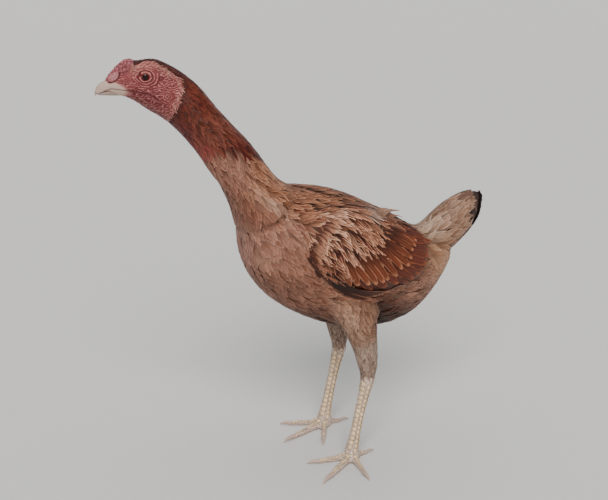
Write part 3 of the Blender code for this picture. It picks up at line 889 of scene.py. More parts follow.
class Plumage:
    """The tracts as fields over the hen: near a place its tracts blend."""

    def __init__(self, anatomy: Anatomy) -> None:
        """Set the tracts out as rows of numbers.

        Args:
            anatomy: The hen's own frame.
        """
        self.anatomy = anatomy
        tracts = list(TRACTS.values())
        self.part = np.array([t.part.value for t in tracts])
        self.at = np.array([t.at for t in tracts]) * CM
        self.reach = np.array([t.reach for t in tracts]) * CM
        self.lie = np.array([t.lie for t in tracts], float)
        self.size = np.array([(t.length, t.half_width, t.spacing, t.depth, t.girth) for t in tracts]) * MM
        self.stretch = np.array([t.stretch for t in tracts])
        self.ragged = np.array([t.ragged for t in tracts])
        self.gap = np.array([t.gap for t in tracts])
        self.main = np.array([t.main for t in tracts])
        self.trim = np.array([t.trim for t in tracts])

    def weights(self, spots: Rows, part: Rows) -> Rows:
        """Share of each tract at rows of places on the given parts.

        Args:
            spots: Places on the hen, one row each.
            part: Part of the coat of each.

        Returns:
            Rows of shares, each of which adds up to one.
        """
        gap = spots[:, None, (0, 2)] - self.at[None]
        far = np.linalg.norm(gap, axis=2) / self.reach[None]
        share = np.exp(-1.6 * far ** 2) + 1e-4 / (0.2 + far ** 4)
        share = share * (part[:, None] == self.part[None])
        collar = self.collar(spots)[:, None]
        high = (self.at[:, 1] > self.collar_height(self.at[:, 0]))[None]
        body = (self.part == BODY.value)[None]
        share = share * np.where(body, np.where(high, collar, 1.0 - collar) + 1e-4, 1.0)
        return share / share.sum(1, keepdims=True)

    @staticmethod
    def accent(spots: Rows, main: Rows, trim: Rows, dice: Dice) -> None:
        """Recolour the feathers near the accents, in place.

        Args:
            spots: Places on the hen, one row each.
            main: Colour of each feather.
            trim: Colour of its edge.
            dice: Source of random numbers.
        """
        for accent in ACCENTS:
            start, end = np.array(accent.start) * CM, np.array(accent.end) * CM
            run = end - start
            gap = spots[:, (0, 2)] - start
            share = np.clip(gap @ run / (run @ run), 0.0, 1.0)
            far = np.linalg.norm(gap - share[:, None] * run, axis=1) / (accent.reach * CM)
            near = ease(1.35, 0.5, far) * accent.share * dice.uniform(0.35, 1.0, len(spots))
            if not accent.both:
                near = near * (spots[:, 1] < 0.0)
            for rows, part in ((main, 0.6), (trim, 1.0)):
                rows += (np.array(accent.colour) - rows) * (near * part)[:, None]

    @staticmethod
    def collar_height(forward: Rows) -> Rows:
        """Height of the border between the dark hackle and the rusty base of the neck."""
        return 0.349 + (forward - 0.042) * 0.33

    def collar(self, spots: Rows) -> Rows:
        """Share of the dark hackle, 1 above the collar and 0 below it.

        Args:
            spots: Places on the hen, one row each.

        Returns:
            The share at each.
        """
        edge = self.collar_height(spots[:, 0])
        edge = edge + 0.006 * np.array([noise.noise(Vector(s) / 0.007) for s in spots])
        return ease(-0.004, 0.004, spots[:, 2] - edge)


# ------------------------------------------------------------------ feathers as solids
def outline(tip: Tip, along: Rows) -> Rows:
    """Half width of a vane, as a share of the widest, at the shares along it.

    Args:
        tip: Kind of outline.
        along: Shares of the length.

    Returns:
        The half widths.
    """
    if tip is Tip.POINTED:
        taper = 1.0 - np.clip((along - 0.40) / 0.62, 0.0, 1.0) ** 1.7
        return (0.30 + 0.70 * ease(0.0, 0.40, along)) * taper
    if tip is Tip.SQUARE:
        taper = 1.0 - 0.55 * np.clip((along - 0.6) / 0.4, 0.0, 1.0) ** 2
        return (0.55 + 0.45 * ease(0.0, 0.3, along)) * taper
    if tip is Tip.SOFT:
        taper = 1.0 - np.clip((along - 0.45) / 0.60, 0.0, 1.0) ** 2.1
        return (0.30 + 0.70 * ease(0.0, 0.45, along)) * taper
    round_off = np.clip((along - 0.70) / 0.33, 0.0, 1.0) ** 2
    return (0.26 + 0.74 * ease(0.0, 0.5, along)) * np.sqrt(1.0 - round_off)


class Vane:
    """Closed prism of a feather, before it is bent to its place."""

    def __init__(self, corners: int, rings: int) -> None:
        """Make the prism with the given corners and rings.

        Args:
            corners: Corners of a cross-section.
            rings: Number of cross-sections.
        """
        shape = bmesh.new()
        bmesh.ops.create_cone(shape, cap_ends=True, segments=corners, radius1=1.0, radius2=1.0, depth=1.0)
        bmesh.ops.rotate(shape, verts=shape.verts, matrix=Matrix.Rotation(math.pi / 2, 3, "Z"))
        bmesh.ops.translate(shape, verts=shape.verts, vec=(0.0, 0.0, 0.5))
        rising = [e for e in shape.edges if abs(e.verts[0].co.z - e.verts[1].co.z) > 0.5]
        bmesh.ops.subdivide_edges(shape, edges=rising, cuts=rings - 2)
        bmesh.ops.recalc_face_normals(shape, faces=shape.faces)
        shape.verts.index_update()
        places = positions(shape.verts)
        self.across = places[:, 0]
        self.lift = places[:, 1]
        self.ring = np.rint(places[:, 2] * (rings - 1)).astype(int)
        self.steps = 1.0 - (1.0 - np.arange(rings) / (rings - 1)) ** 1.35
        self.loops = np.array([v.index for f in shape.faces for v in f.verts])
        self.sizes = np.array([len(f.verts) for f in shape.faces])
        rims = [e for e in shape.edges if abs(e.verts[0].co.x) > 0.9 and e.verts[0].co.x * e.verts[1].co.x
                > 0.9]
        self.rims = np.array([[v.index for v in e.verts] for e in rims])
        self.triangles = int((self.sizes - 2).sum())
        self.column = np.unique(np.round(self.across, 2), return_inverse=True)[1]
        shape.free()


@dataclass
class Plume:
    """A batch of feathers of one outline; each array has one row a feather."""

    tip: Tip
    spine: Rows
    normal: Rows
    half_width: Rows
    depth: Rows
    girth: Rows
    main: Rows
    trim: Rows
    tone: Rows
    # gap: strength of the painted shade at each feather's root and rims
    gap: Rows
    chart: Rows
    ragged: Rows
    thick: Rows
    lift: Rows
    roll: Rows

    def __len__(self) -> int:
        """Number of feathers."""
        return len(self.spine)

    def pick(self, chosen: Rows) -> "Plume":
        """The chosen feathers of the batch."""
        rows = {key: value[chosen] for key, value in self.__dict__.items() if key != "tip"}
        return Plume(self.tip, **rows)


@dataclass
class CoatPiece:
    """One joined piece of coat."""

    name: str
    vane: Vane
    patch: float = 0.003
    seed: int = SEED

    def build(self, batches: Sequence[Plume], finish: Material, slot: str) -> Piece:
        """Make the piece.

        Args:
            batches: Its feathers.
            finish: Material.
            slot: Not used.

        Returns:
            The piece, riding on the body.
        """
        dice = np.random.default_rng(self.seed + len(self.name))
        parts = [self.shape(batch, dice) for batch in batches if len(batch)]
        count = sum(len(batch) for batch in batches)
        points = np.concatenate([p[0] for p in parts])
        size = len(self.vane.across)
        starts = np.arange(count) * size
        loops = (self.vane.loops[None] + starts[:, None]).ravel()
        totals = np.tile(self.vane.sizes, count)
        mesh = bpy.data.meshes.new(self.name)
        mesh.vertices.add(len(points))
        mesh.vertices.foreach_set("co", points.astype(np.float32).ravel())
        mesh.loops.add(len(loops))
        mesh.loops.foreach_set("vertex_index", loops.astype(np.int32))
        mesh.polygons.add(len(totals))
        firsts = np.concatenate(([0], np.cumsum(totals)[:-1]))
        mesh.polygons.foreach_set("loop_start", firsts.astype(np.int32))
        mesh.update(calc_edges=True)
        mesh.polygons.foreach_set("use_smooth", np.ones(len(totals), bool))
        self.sharpen(mesh)
        for layer, column in (("OFBake", 1), ("Vane", 2)):
            chart = mesh.uv_layers.new(name=layer)
            rows = np.concatenate([p[column] for p in parts])[loops]
            chart.data.foreach_set("uv", rows.astype(np.float32).ravel())
        for label, tone in (("plumage", "main"), ("trim", "trim")):
            rows = np.concatenate([getattr(b, tone) for b in batches if len(b)])
            put_colours(mesh, label, np.repeat(rows, size, 0))
        # gap goes to the finish as the strength of the painted shade at roots and rims
        for label in ("tone", "gap"):
            values = np.concatenate([getattr(b, label) for b in batches if len(b)])
            put_values(mesh, label, np.repeat(values, size))
        mesh.materials.append(finish)
        piece = link(self.name, mesh)
        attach(piece, ROOT)
        LOG.info("%s: %d feathers, %d triangles", self.name, count, count * self.vane.triangles)
        return piece

    def sharpen(self, mesh: bpy.types.Mesh) -> None:
        """Mark the two rims of every vane as sharp edges.

        Args:
            mesh: The joined vanes.
        """
        size = len(self.vane.across)
        rims = np.sort(self.vane.rims, 1)
        keys = rims[:, 0] * size + rims[:, 1]
        ends = np.empty(len(mesh.edges) * 2, np.int32)
        mesh.edges.foreach_get("vertices", ends)
        ends = np.sort(ends.reshape(-1, 2), 1)
        local = ends % size
        sharp = np.isin(local[:, 0] * size + local[:, 1], keys)
        layer = mesh.attributes.new("sharp_edge", "BOOLEAN", "EDGE")
        layer.data.foreach_set("value", sharp)

    def shape(self, batch: Plume, dice: Dice) -> Tuple[Rows, ...]:
        """Bend the prism along each feather's spine.

        Args:
            batch: The feathers.
            dice: Source of the raggedness.

        Returns:
            Points, OFBake places and Vane places, one row a vertex.
        """
        vane = self.vane
        count, samples = batch.spine.shape[:2]
        place = vane.steps * (samples - 1)
        low = np.minimum(place.astype(int), samples - 2)
        share = (place - low)[None, :, None]
        spine = batch.spine[:, low] * (1 - share) + batch.spine[:, low + 1] * share
        normal = unit(batch.normal[:, low] * (1 - share) + batch.normal[:, low + 1] * share)
        course = unit(np.gradient(spine, axis=1))
        across = unit(np.cross(course, normal))
        normal = unit(np.cross(across, course))
        width = outline(batch.tip, vane.steps)[vane.ring]
        along = vane.steps[vane.ring]
        rim = np.abs(vane.across) > 0.9
        cut = dice.random((count, len(rim))) ** 3 * 3.0 - 0.5
        fray = 1.0 - np.where(rim, cut, 0.0) * batch.ragged[:, None]
        offset = vane.across * width * fray * batch.half_width[:, None]
        angle = offset / batch.girth[:, None]
        aside = batch.girth[:, None] * np.sin(angle)
        fall = batch.girth[:, None] * (1.0 - np.cos(angle))
        height = -batch.depth[:, None] * (1.0 - along) ** 1.35
        height = height + batch.lift[:, None] * along ** 2 + batch.roll[:, None] * offset
        stout = batch.thick[:, None] * (1.0 - 0.6 * along) * vane.lift
        height = height + stout - fall
        points = spine[:, vane.ring] + across[:, vane.ring] * aside[..., None]
        points = points + normal[:, vane.ring] * height[..., None]
        jag = dice.random((count, vane.column.max() + 1)) ** 1.5
        jag = jag[:, vane.column] * ease(0.62, 1.0, along) * -2.6
        slip = jag * batch.ragged[:, None] * batch.half_width[:, None]
        points = points + course[:, vane.ring] * slip[..., None]
        local = np.stack([vane.across * 0.5, along - 0.5], 1)[None] * self.patch
        bake = np.clip(batch.chart[:, None] + local, 0.0, 1.0)
        chart = np.stack([vane.across * 0.5 + 0.5, along], 1)
        chart = np.broadcast_to(chart[None], bake.shape)
        return points.reshape(-1, 3), bake.reshape(-1, 2), chart.reshape(-1, 2)


# ------------------------------------------------------------------ the skin
FLESH = ("trunk", "neck", "head", "comb", "wing_left", "wing_right", "tail", "thigh_left", "thigh_right",
         "shank_left", "shank_right", "foot_left", "foot_right")
CLOSING = ("bill_upper", "bill_lower", "eye_left", "eye_right")


@dataclass
class Hull:
    """One closed surface round all the flesh, on which feathers are laid.

    crease is the box, in x and then in z, of the valley that is filled at the neck.
    """

    swell: float = 0.0004
    crease: Tuple[float, float, float, float] = (-0.118, -0.026, 0.235, 0.350)
    crease_rounds: int = 90
    even_rounds: int = 5
    cell: float = 0.0025
    chart_cell: float = 0.006
    chart_angle: float = 66.0
    chart_margin: float = 0.004

    def build(self) -> None:
        """Join the grown solids and keep their outer surface."""
        joined = bmesh.new()
        for name in FLESH + CLOSING:
            part = bmesh.new()
            part.from_mesh(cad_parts[name].data)
            bmesh.ops.remove_doubles(part, verts=part.verts, dist=SAME_PLACE)
            part.normal_update()
            for vertex in part.verts:
                vertex.co += vertex.normal * self.swell
            mesh = bpy.data.meshes.new("part")
            part.to_mesh(mesh)
            joined.from_mesh(mesh)
            bpy.data.meshes.remove(mesh)
            part.free()
        self.shape = self.remesh(joined, self.cell)
        joined.free()
        relax(self.shape, self.shape.verts)
        even = self.shape.copy()
        relax(even, even.verts, self.even_rounds)
        self.fill_crease(even)
        self.tree = BVHTree.FromBMesh(even)
        even.normal_update()
        even.faces.ensure_lookup_table()
        self.centres = np.array([tuple(f.calc_center_median()) for f in even.faces])
        self.corners = np.array([[tuple(v.co) for v in f.verts][:3] for f in even.faces])
        self.normals = np.array([tuple(f.normal) for f in even.faces])
        self.areas = np.array([f.calc_area() for f in even.faces])
        even.free()

    def fill_crease(self, shape: Shape) -> None:
        """Raise the valley between the neck and the breast, which feathers bridge.

        Args:
            shape: The hull, which changes.
        """
        shape.normal_update()
        front, rear, low, high = self.crease
        chosen = [v for v in shape.verts if front < v.co.x < rear and low < v.co.z < high]
        before = [(v.co.copy(), v.normal.copy()) for v in chosen]
        relax(shape, chosen, self.crease_rounds)
        for vertex, (place, normal) in zip(chosen, before):
            if (vertex.co - place).dot(normal) < 0.0:
                vertex.co = place

    def remesh(self, shape: Shape, cell: float) -> Shape:
        """Outer surface of shape, in squares of about the size cell.

        Args:
            shape: Closed surface, in one part or several.
            cell: Size of a square in metres.

        Returns:
            The surface.
        """
        mesh = bpy.data.meshes.new("hull")
        shape.to_mesh(mesh)
        holder = link("hull", mesh)
        modifier = holder.modifiers.new("Remesh", "REMESH")
        modifier.mode = "VOXEL"
        modifier.voxel_size = cell
        view = bpy.context.evaluated_depsgraph_get()
        made = bmesh.new()
        made.from_mesh(holder.evaluated_get(view).to_mesh())
        bpy.data.objects.remove(holder)
        bpy.data.meshes.remove(mesh)
        self.keep_largest(made)
        return made

    @staticmethod
    def keep_largest(shape: Shape) -> None:
        """Remove every island of shape but the largest.

        Args:
            shape: Mesh, which changes.
        """
        shape.verts.ensure_lookup_table()
        seen = np.full(len(shape.verts), -1)
        islands = []
        for first in shape.verts:
            if seen[first.index] >= 0:
                continue
            seen[first.index] = len(islands)
            stack, count = [first], 0
            while stack:
                here = stack.pop()
                count += 1
                for edge in here.link_edges:
                    other = edge.other_vert(here)
                    if seen[other.index] < 0:
                        seen[other.index] = len(islands)
                        stack.append(other)
            islands.append(count)
        best = int(np.argmax(islands))
        loose = [v for v in shape.verts if seen[v.index] != best]
        bmesh.ops.delete(shape, geom=loose, context="VERTS")

    def nearest(self, points: Rows) -> Tuple[Rows, Rows]:
        """Nearest points of the hull to rows of points, and the normals there.

        Args:
            points: Points in the frame, one row each.

        Returns:
            The nearest points and the normals.
        """
        found = np.empty_like(points)
        faces = np.empty(len(points), int)
        for row, point in enumerate(points):
            spot, _, face, _ = self.tree.find_nearest(Vector(point))
            found[row] = spot
            faces[row] = face
        return found, self.normals[faces]

    def unwrap(self) -> None:
        """Lay out a coarse copy of the surface flat, for the places of the feathers."""
        coarse = self.remesh(self.shape, self.chart_cell)
        bmesh.ops.triangulate(coarse, faces=coarse.faces)
        mesh = bpy.data.meshes.new("chart")
        coarse.to_mesh(mesh)
        coarse.free()
        holder = link("chart", mesh)
        bpy.context.view_layer.objects.active = holder
        holder.select_set(True)
        bpy.ops.object.mode_set(mode="EDIT")
        bpy.ops.mesh.select_all(action="SELECT")
        bpy.ops.uv.smart_project(angle_limit=math.radians(self.chart_angle),
                                 island_margin=self.chart_margin)
        bpy.ops.object.mode_set(mode="OBJECT")
        layer = mesh.uv_layers.active.data
        self.chart_uv = [[Vector((*layer[i].uv, 0.0)) for i in f.loop_indices] for f in mesh.polygons]
        self.chart_at = [[mesh.vertices[i].co.copy() for i in f.vertices] for f in mesh.polygons]
        points = [tuple(v.co) for v in mesh.vertices]
        faces = [tuple(f.vertices) for f in mesh.polygons]
        self.chart_tree = BVHTree.FromPolygons(points, faces)
        bpy.data.objects.remove(holder)

    def chart(self, points: Rows) -> Rows:
        """Places of rows of points on the flat layout.

        Args:
            points: Points in the frame, one row each.

        Returns:
            Places, each 0 to 1 both ways.
        """
        made = np.empty((len(points), 2))
        for row, point in enumerate(points):
            spot, _, face, _ = self.chart_tree.find_nearest(Vector(point))
            flat = barycentric_transform(spot, *self.chart_at[face], *self.chart_uv[face])
            made[row] = flat[:2]
        return made


@dataclass
class Face:
    """Bare face, lids, comb and bill base; sizes in millimetres from between the eyes."""

    eye_radius: float = 5.8
    opening: float = 4.05
    lid_height: float = 0.5
    lid_at: float = 4.7
    ring_step: float = 2.5
    ear_at: Pair = (-21.5, -19.0)
    ear_radius: float = 8.0
    tuft_at: Pair = (-15.5, -1.5)

    @staticmethod
    def bare(f: Rows, side: Rows, u: Rows) -> Rows:
        """Signed distance inside the bare face, positive on bare skin.

        Args:
            f: Millimetres forward.
            side: Millimetres to the right.
            u: Millimetres up.

        Returns:
            Millimetres inside the border.
        """
        rear = np.interp(u, (-50.0, -46.0, -41.0, -29.0, -12.0, 2.5, 9.0),
                         (-10.0, -19.0, -24.0, -30.5, -36.5, -32.0, -22.0))
        band = np.interp(f, (-33.0, -25.0, -16.5, -8.0, 0.0, 7.0, 12.0, 16.0, 20.5),
                         (11.0, 9.5, 8.4, 6.4, 5.2, 6.6, 7.4, 6.0, -9.0))
        crown = np.where(u > -2.0, np.abs(side) - band, 9.0)
        return np.minimum(f - rear, crown)

    def eye_distance(self, f: Rows, u: Rows) -> Rows:
        """Distance from the middle of the eye, a little longer lengthwise.

        Args:
            f: Millimetres forward.
            u: Millimetres up.

        Returns:
            The distance in millimetres.
        """
        corner = 0.16 * ease(0.0, 9.0, np.abs(f))
        point = ease(4.5, 10.0, f)
        return np.hypot(f / (1.06 + corner + 0.12 * point), u * (1.0 + 0.5 * point) / 0.97)

    def relief(self, f: Rows, u: Rows, grain: Rows) -> Tuple[Rows, Dict[str, Rows]]:
        """Height of the folds of the bare face, and the marks that the finish draws as painted highlights
        on ridges and painted shade in creases, recesses and openings.

        Args:
            f: Millimetres forward.
            u: Millimetres up.
            grain: Slow random wander of the folds, about -1 to 1.

        Returns:
            Height in metres, and the masks and distances that the finish draws by.
        """
        from_eye = self.eye_distance(f, u)
        lower = ease(6.0, -6.0, u)
        rings = np.cos(2.0 * math.pi * (from_eye - self.lid_at + grain * 0.35) / self.ring_step)
        near = ease(3.6, 4.2, from_eye) * ease(self.lid_at + self.ring_step * 1.55,
                                               self.lid_at + self.ring_step * 0.9, from_eye)
        outer = ease(7.5, 8.6, from_eye) * ease(12.5, 9.6, from_eye) * (0.15 + 0.6 * lower)
        lids = np.maximum(near, outer)
        recess = ease(2.6, 0.8, np.hypot((f - 5.3) / 1.2, (u - 1.8) / 0.9))
        away = ease(8.5, 12.0, from_eye)
        angle = np.arctan2(u, f)
        arcs = np.cos(2.0 * math.pi * (from_eye + grain * 2.0) / 2.3)
        arcs = arcs * ease(18.0, 12.0, from_eye) * lower * 0.7
        wave = (u * 0.9 + f * 0.25 + grain * 1.9) * 2.7
        swirl = np.sin(wave) * (0.7 + 0.3 * np.sin(f * 0.8 + grain * 3.0 + angle))
        swirl = swirl * (1.0 - 0.7 * np.abs(arcs)) + arcs * 0.7
        ear = np.hypot(f - self.ear_at[0], (u - self.ear_at[1]) / 1.15)
        ear = ear + grain * 1.6
        lobe = ease(self.ear_radius, self.ear_radius * 0.35, ear)
        coils = np.cos(2.0 * math.pi * ear / 2.0) * (0.6 + 0.4 * grain)
        tuft = np.hypot((f - self.tuft_at[0]) / 1.5, u - self.tuft_at[1])
        opening = ease(2.4, 0.8, tuft + grain * 0.5)
        brow = ease(7.0, 11.0, u) * ease(16.0, 6.0, np.abs(f + 4.0))
        stripes = np.sin(f * 1.2 + u * 1.9 + grain * 2.4)
        wrinkle = away * (1.0 - lobe) * (1.0 - 0.6 * brow) * (1.0 - 0.6 * self.lore(f, u))
        # The fold mark is drawn by the finish as painted shade where it is low (in the recess before the
        # eye, the ear opening and the mouth corner) and as painted highlight where it is high.
        fold = wrinkle * arcs * 0.6 - recess * 1.4 - opening * 1.2 + brow * stripes * 0.8
        height = lids * rings * 0.42 + away * (1.0 - lobe) * swirl * 0.26 - recess * 0.8
        height = height + lobe * (1.1 + coils * 0.42) - opening
        height = height + brow * (0.35 + stripes * 0.25) + lids * 0.3
        gape = np.interp(f, (-13.0, -3.0, 8.0, 20.0, 30.0), (-23.5, -17.5, -15.5, -14.4, -13.8))
        corner = ease(1.3, 0.2, np.abs(u - gape + grain * 0.5 * ease(19.0, 12.0, f)))
        corner = corner * ease(-15.0, -8.0, f)
        height = height - corner * 0.7
        marks = {"fold": np.clip(fold - corner * 1.3, -1.3, 1.3), "lids": lids, "lobe": lobe,
                 "wrinkle": wrinkle * (1.0 - corner), "eye_mm": from_eye + grain * 0.35, "ear_mm": ear,
                 "wave": wave}
        return height * MM, marks

    @staticmethod
    def horn_edge(u: Rows) -> Rows:
        """How far back the horny strip along the mouth reaches at each height."""
        return np.interp(u, (-21.0, -18.0, -15.0, -12.0, -9.5, -7.5, -5.0),
                         (23.0, 20.0, 19.0, 20.5, 24.5, 28.4, 35.0))

    @staticmethod
    def horny(f: Rows, u: Rows) -> Rows:
        """Share of the horny strip along the mouth behind the bill."""
        return ease(-3.2, 3.2, f - Face.horn_edge(u))

    @staticmethod
    def margin(u: Rows) -> Rows:
        """How far forward the skin reaches over the bill at each height."""
        return np.interp(u, (-25.0, -19.0, -16.5, -14.0, -11.0, -8.0, -4.0, 0.0),
                         (31.0, 29.0, 27.6, 27.4, 28.5, 31.5, 37.0, 41.0))

    @staticmethod
    def snub(f: Rows, u: Rows) -> Rows:
        """Distance from the middle of the comb's smooth front lobe, 1 at its rim.

        Args:
            f: Millimetres forward.
            u: Millimetres up.

        Returns:
            The distance.
        """
        along = (u + 1.6) * 0.66 - (f - 31.5) * 0.75
        across = (u + 1.6) * 0.75 + (f - 31.5) * 0.66
        return np.hypot(along / 6.8, across / 3.5)

    @staticmethod
    def lobes(points: Rows, size: float) -> Rows:
        """Rounded knobs of about the given size with creases between, 0 to 1.

        Args:
            points: Points in the frame, one row each.
            size: Size of a knob in metres.

        Returns:
            The height at each point.
        """
        made = []
        for point in points:
            near = noise.voronoi(Vector(point) / size)[0]
            made.append(near[1] - near[0])
        return np.clip(np.array(made) * 1.6, 0.0, 1.0) ** 0.6

    @staticmethod
    def lore(f: Rows, u: Rows) -> Rows:
        """Share of the deep red smooth place before the eye."""
        return ease(8.0, 3.0, np.hypot((f - 14.0) / 1.5, u / 0.9))


@dataclass
class Skin:
    """The one piece of skin, from the base of the bill to the soles."""

    anatomy: Anatomy
    plumage: Plumage
    hull: Hull
    solids: Solids
    face: Face = field(default_factory=Face)
    front: Pair = (0.2052, 0.4300)
    front_low: Pair = (0.2010, 0.4160)
    head_from: Pair = (0.118, 0.375)
    leg_top: float = 0.118
    knobs: Pair = (0.0036, 0.0019)
    knob_height: float = 2.6

    def build(self, finish: Material) -> Piece:
        """Make the skin and let it stand for the solids of flesh.

        Args:
            finish: Its material.

        Returns:
            The skin.
        """
        shape = self.hull.shape.copy()
        self.cut_front(shape)
        self.refine(shape)
        points, normals = self.arrays(shape)
        spots, _ = self.anatomy.read(points)
        owner = self.solids.owners(points)
        moved, marks = self.sculpt(points, normals, spots, owner)
        for vertex, point in zip(shape.verts, moved):
            vertex.co = point
        mesh = smooth_mesh("skin", shape, finish)
        put_colours(mesh, "plumage", marks.pop("plumage"))
        for name, values in marks.items():
            put_values(mesh, name, values)
        skin = link("skin", mesh)
        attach(skin, ROOT)
        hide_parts(*FLESH)
        count = sum(len(p.vertices) - 2 for p in mesh.polygons)
        LOG.info("skin: %d triangles", count)
        return skin

    def cut_front(self, shape: Shape) -> None:
        """Cut the skin off across the base of the bill and close it.

        Args:
            shape: The skin, which changes.
        """
        spots = np.array([(self.front[0], 0.0, self.front[1]),
                          (self.front_low[0], 0.0, self.front_low[1]),
                          (self.front[0], 0.01, self.front[1])])
        high, low, aside = self.anatomy.place(spots)
        normal = Vector(np.cross(aside - high, low - high)).normalized()
        heading = Vector(self.anatomy.place(np.array([[0.25, 0.0, 0.43]]))[0] - high)
        if normal.dot(heading) < 0.0:
            normal.negate()
        cut = bmesh.ops.bisect_plane(shape, geom=list(shape.verts) + list(shape.edges)
                                     + list(shape.faces), plane_co=high, plane_no=normal,
                                     clear_outer=True)
        rim = [e for e in cut["geom_cut"] if isinstance(e, bmesh.types.BMEdge)]
        bmesh.ops.contextual_create(shape, geom=rim)

    def refine(self, shape: Shape) -> None:
        """Make the mesh finer in stages: legs and head, bare face, lids.

        Args:
            shape: The skin, which changes.
        """
        for stage in range(3):
            head, chosen = self.stage(shape, stage)
            edges = [e for e in shape.edges if chosen[e.verts[0].index] and chosen[e.verts[1].index]]
            bmesh.ops.subdivide_edges(shape, edges=edges, cuts=1, use_grid_fill=True)
            head, chosen = self.stage(shape, stage)
            soft = [v for v, good in zip(shape.verts, head & chosen) if good]
            relax(shape, soft, 3 - stage)

    def stage(self, shape: Shape, number: int) -> Tuple[Rows, Rows]:
        """Which vertices of shape are on the head, and which one stage makes finer.

        Args:
            shape: The skin.
            number: Stage, from 0.

        Returns:
            Whether each vertex is on the head, and whether it is chosen.
        """
        shape.verts.index_update()
        shape.verts.ensure_lookup_table()
        spots, _ = self.anatomy.read(positions(shape.verts))
        f, side, u = self.anatomy.face(spots)
        head = (spots[:, 0] > self.head_from[0]) & (spots[:, 2] > self.head_from[1])
        bare = head & (self.face.bare(f, side, u) > -1.5)
        lids = head & (self.face.eye_distance(f, u) < 12.0) & (np.abs(side) > 5.0)
        return head, (head | (spots[:, 2] < self.leg_top), bare, lids)[number]

    @staticmethod
    def arrays(shape: Shape) -> Tuple[Rows, Rows]:
        """Points and normals of shape, one row a vertex."""
        shape.normal_update()
        return positions(shape.verts), np.array([tuple(v.normal) for v in shape.verts])

    def wander(self, points: Rows, size: float) -> Rows:
        """Slow random field over rows of points, about -1 to 1."""
        return np.array([noise.noise(Vector(p) / size) for p in points])

    def thickness(self, points: Rows, normals: Rows) -> Rows:
        """Distance through the hull below rows of points.

        Args:
            points: Points in the frame, one row each.
            normals: Normals there.

        Returns:
            The distance at each.
        """
        made = np.empty(len(points))
        for row, (point, normal) in enumerate(zip(points, normals)):
            start = Vector(point - normal * 0.001)
            hit = self.hull.tree.ray_cast(start, Vector(-normal))
            made[row] = 0.001 + (hit[3] if hit[0] is not None else 0.05)
        return made

    def sculpt(self, points: Rows, normals: Rows, spots: Rows, owner: Rows) -> Tuple[Rows, dict]:
        """Draw the skin in under the coat and model what is bare.

        Args:
            points: Points of the hull.
            normals: Its normals.
            spots: Places of the points on the hen.
            owner: Number of the nearest solid of each.

        Returns:
            New points, and the colour and masks of each.
        """
        names = np.array(self.solids.names)[owner]
        f, side, u = self.anatomy.face(spots)
        head = ease(0.110, 0.124, spots[:, 0]) * ease(0.37, 0.385, spots[:, 2])
        bare = ease(-1.0, 1.0, self.face.bare(f, side, u)) * (head > 0.5)
        legs = ease(0.103, 0.097, spots[:, 2])
        comb = np.array([name == "comb" for name in names]) * ease(10.5, 13.0, f)
        grain = self.wander(points, 0.004) * 1.3 + self.wander(points, 0.0017) * 0.5
        snub = Face.snub(f, u) + grain * 0.06
        comb = np.maximum(comb, ease(1.32, 1.2, snub) * bare)
        billed = np.array([name.startswith("bill") for name in names])
        part = np.full(len(points), BODY.value)
        part[np.char.startswith(names, "thigh")] = LEG.value
        part[np.char.startswith(names, "wing")] = WING.value
        shares = self.plumage.weights(spots, part)
        depth = (shares @ self.plumage.size)[:, 3] + 0.0004
        depth = depth + 0.0012 * ease(-0.150, -0.170, spots[:, 0])
        feathered = (1.0 - bare) * (1.0 - legs) * (1.0 - comb)
        room = self.thickness(points, normals) * 0.42
        moved = points - normals * (np.minimum(depth, room) * feathered
                                    + 0.0004 * (1.0 - feathered))[:, None]
        height, drawn = self.face.relief(f, u, grain)
        fold = drawn.pop("fold")
        knobs = np.zeros(len(points))
        crest = np.nonzero(comb > 0.0)[0]
        knobs[crest] = 0.6 * Face.lobes(points[crest], self.knobs[0])
        knobs[crest] += 0.4 * Face.lobes(points[crest] + 0.01, self.knobs[1])
        under = ease(0.6, -0.8, (u + 1.6) * 0.75 + (f - 31.5) * 0.66)
        pleat = ease(0.85, 1.0, snub) * ease(1.3, 1.1, snub) * under * comb
        rough = comb * (0.25 + 0.75 * ease(0.9, 1.3, snub))
        height = height * bare * (1.0 - comb) + rough * (knobs * self.knob_height - 1.5) * MM
        horny = self.face.horny(f, u) * bare * (1.0 - comb)
        height = height * (1.0 - 0.8 * horny) - pleat * 0.7 * MM
        fold = fold * bare * (1.0 - comb) * (1.0 - horny * (fold > -0.2))
        # Through the fold mark the comb's knob tops get painted highlights, and the creases between them
        # and the pleat under the front lobe get painted shade.
        fold = fold + rough * (knobs * 2.4 - 1.4) - pleat * 1.3
        moved = moved + normals * height[:, None]
        moved = self.open_eyes(moved, side)
        moved = self.bare_bill(moved, normals, f, u, billed)
        moved[:, 2] = np.where(legs > 0, np.maximum(moved[:, 2], 0.0), moved[:, 2])
        colour = self.colour(shares, f, side, u, bare, comb, horny)
        dark = ease(0.005, -0.001, spots[:, 0] - Coat.tail_band(spots))[:, None]
        dark = dark * (spots[:, 2:] > 0.228)
        colour = colour + (np.array(tint(48, 34, 29)) - colour) * dark
        marks = {"plumage": colour, "fold": fold, "bare": np.maximum(bare, comb) * (1.0 - horny * 0.85),
                 "scale": legs}
        for name in ("lids", "lobe", "wrinkle"):
            drawn[name] = drawn[name] * bare * (1.0 - comb) * (1.0 - horny)
        marks.update(drawn)
        return moved, marks

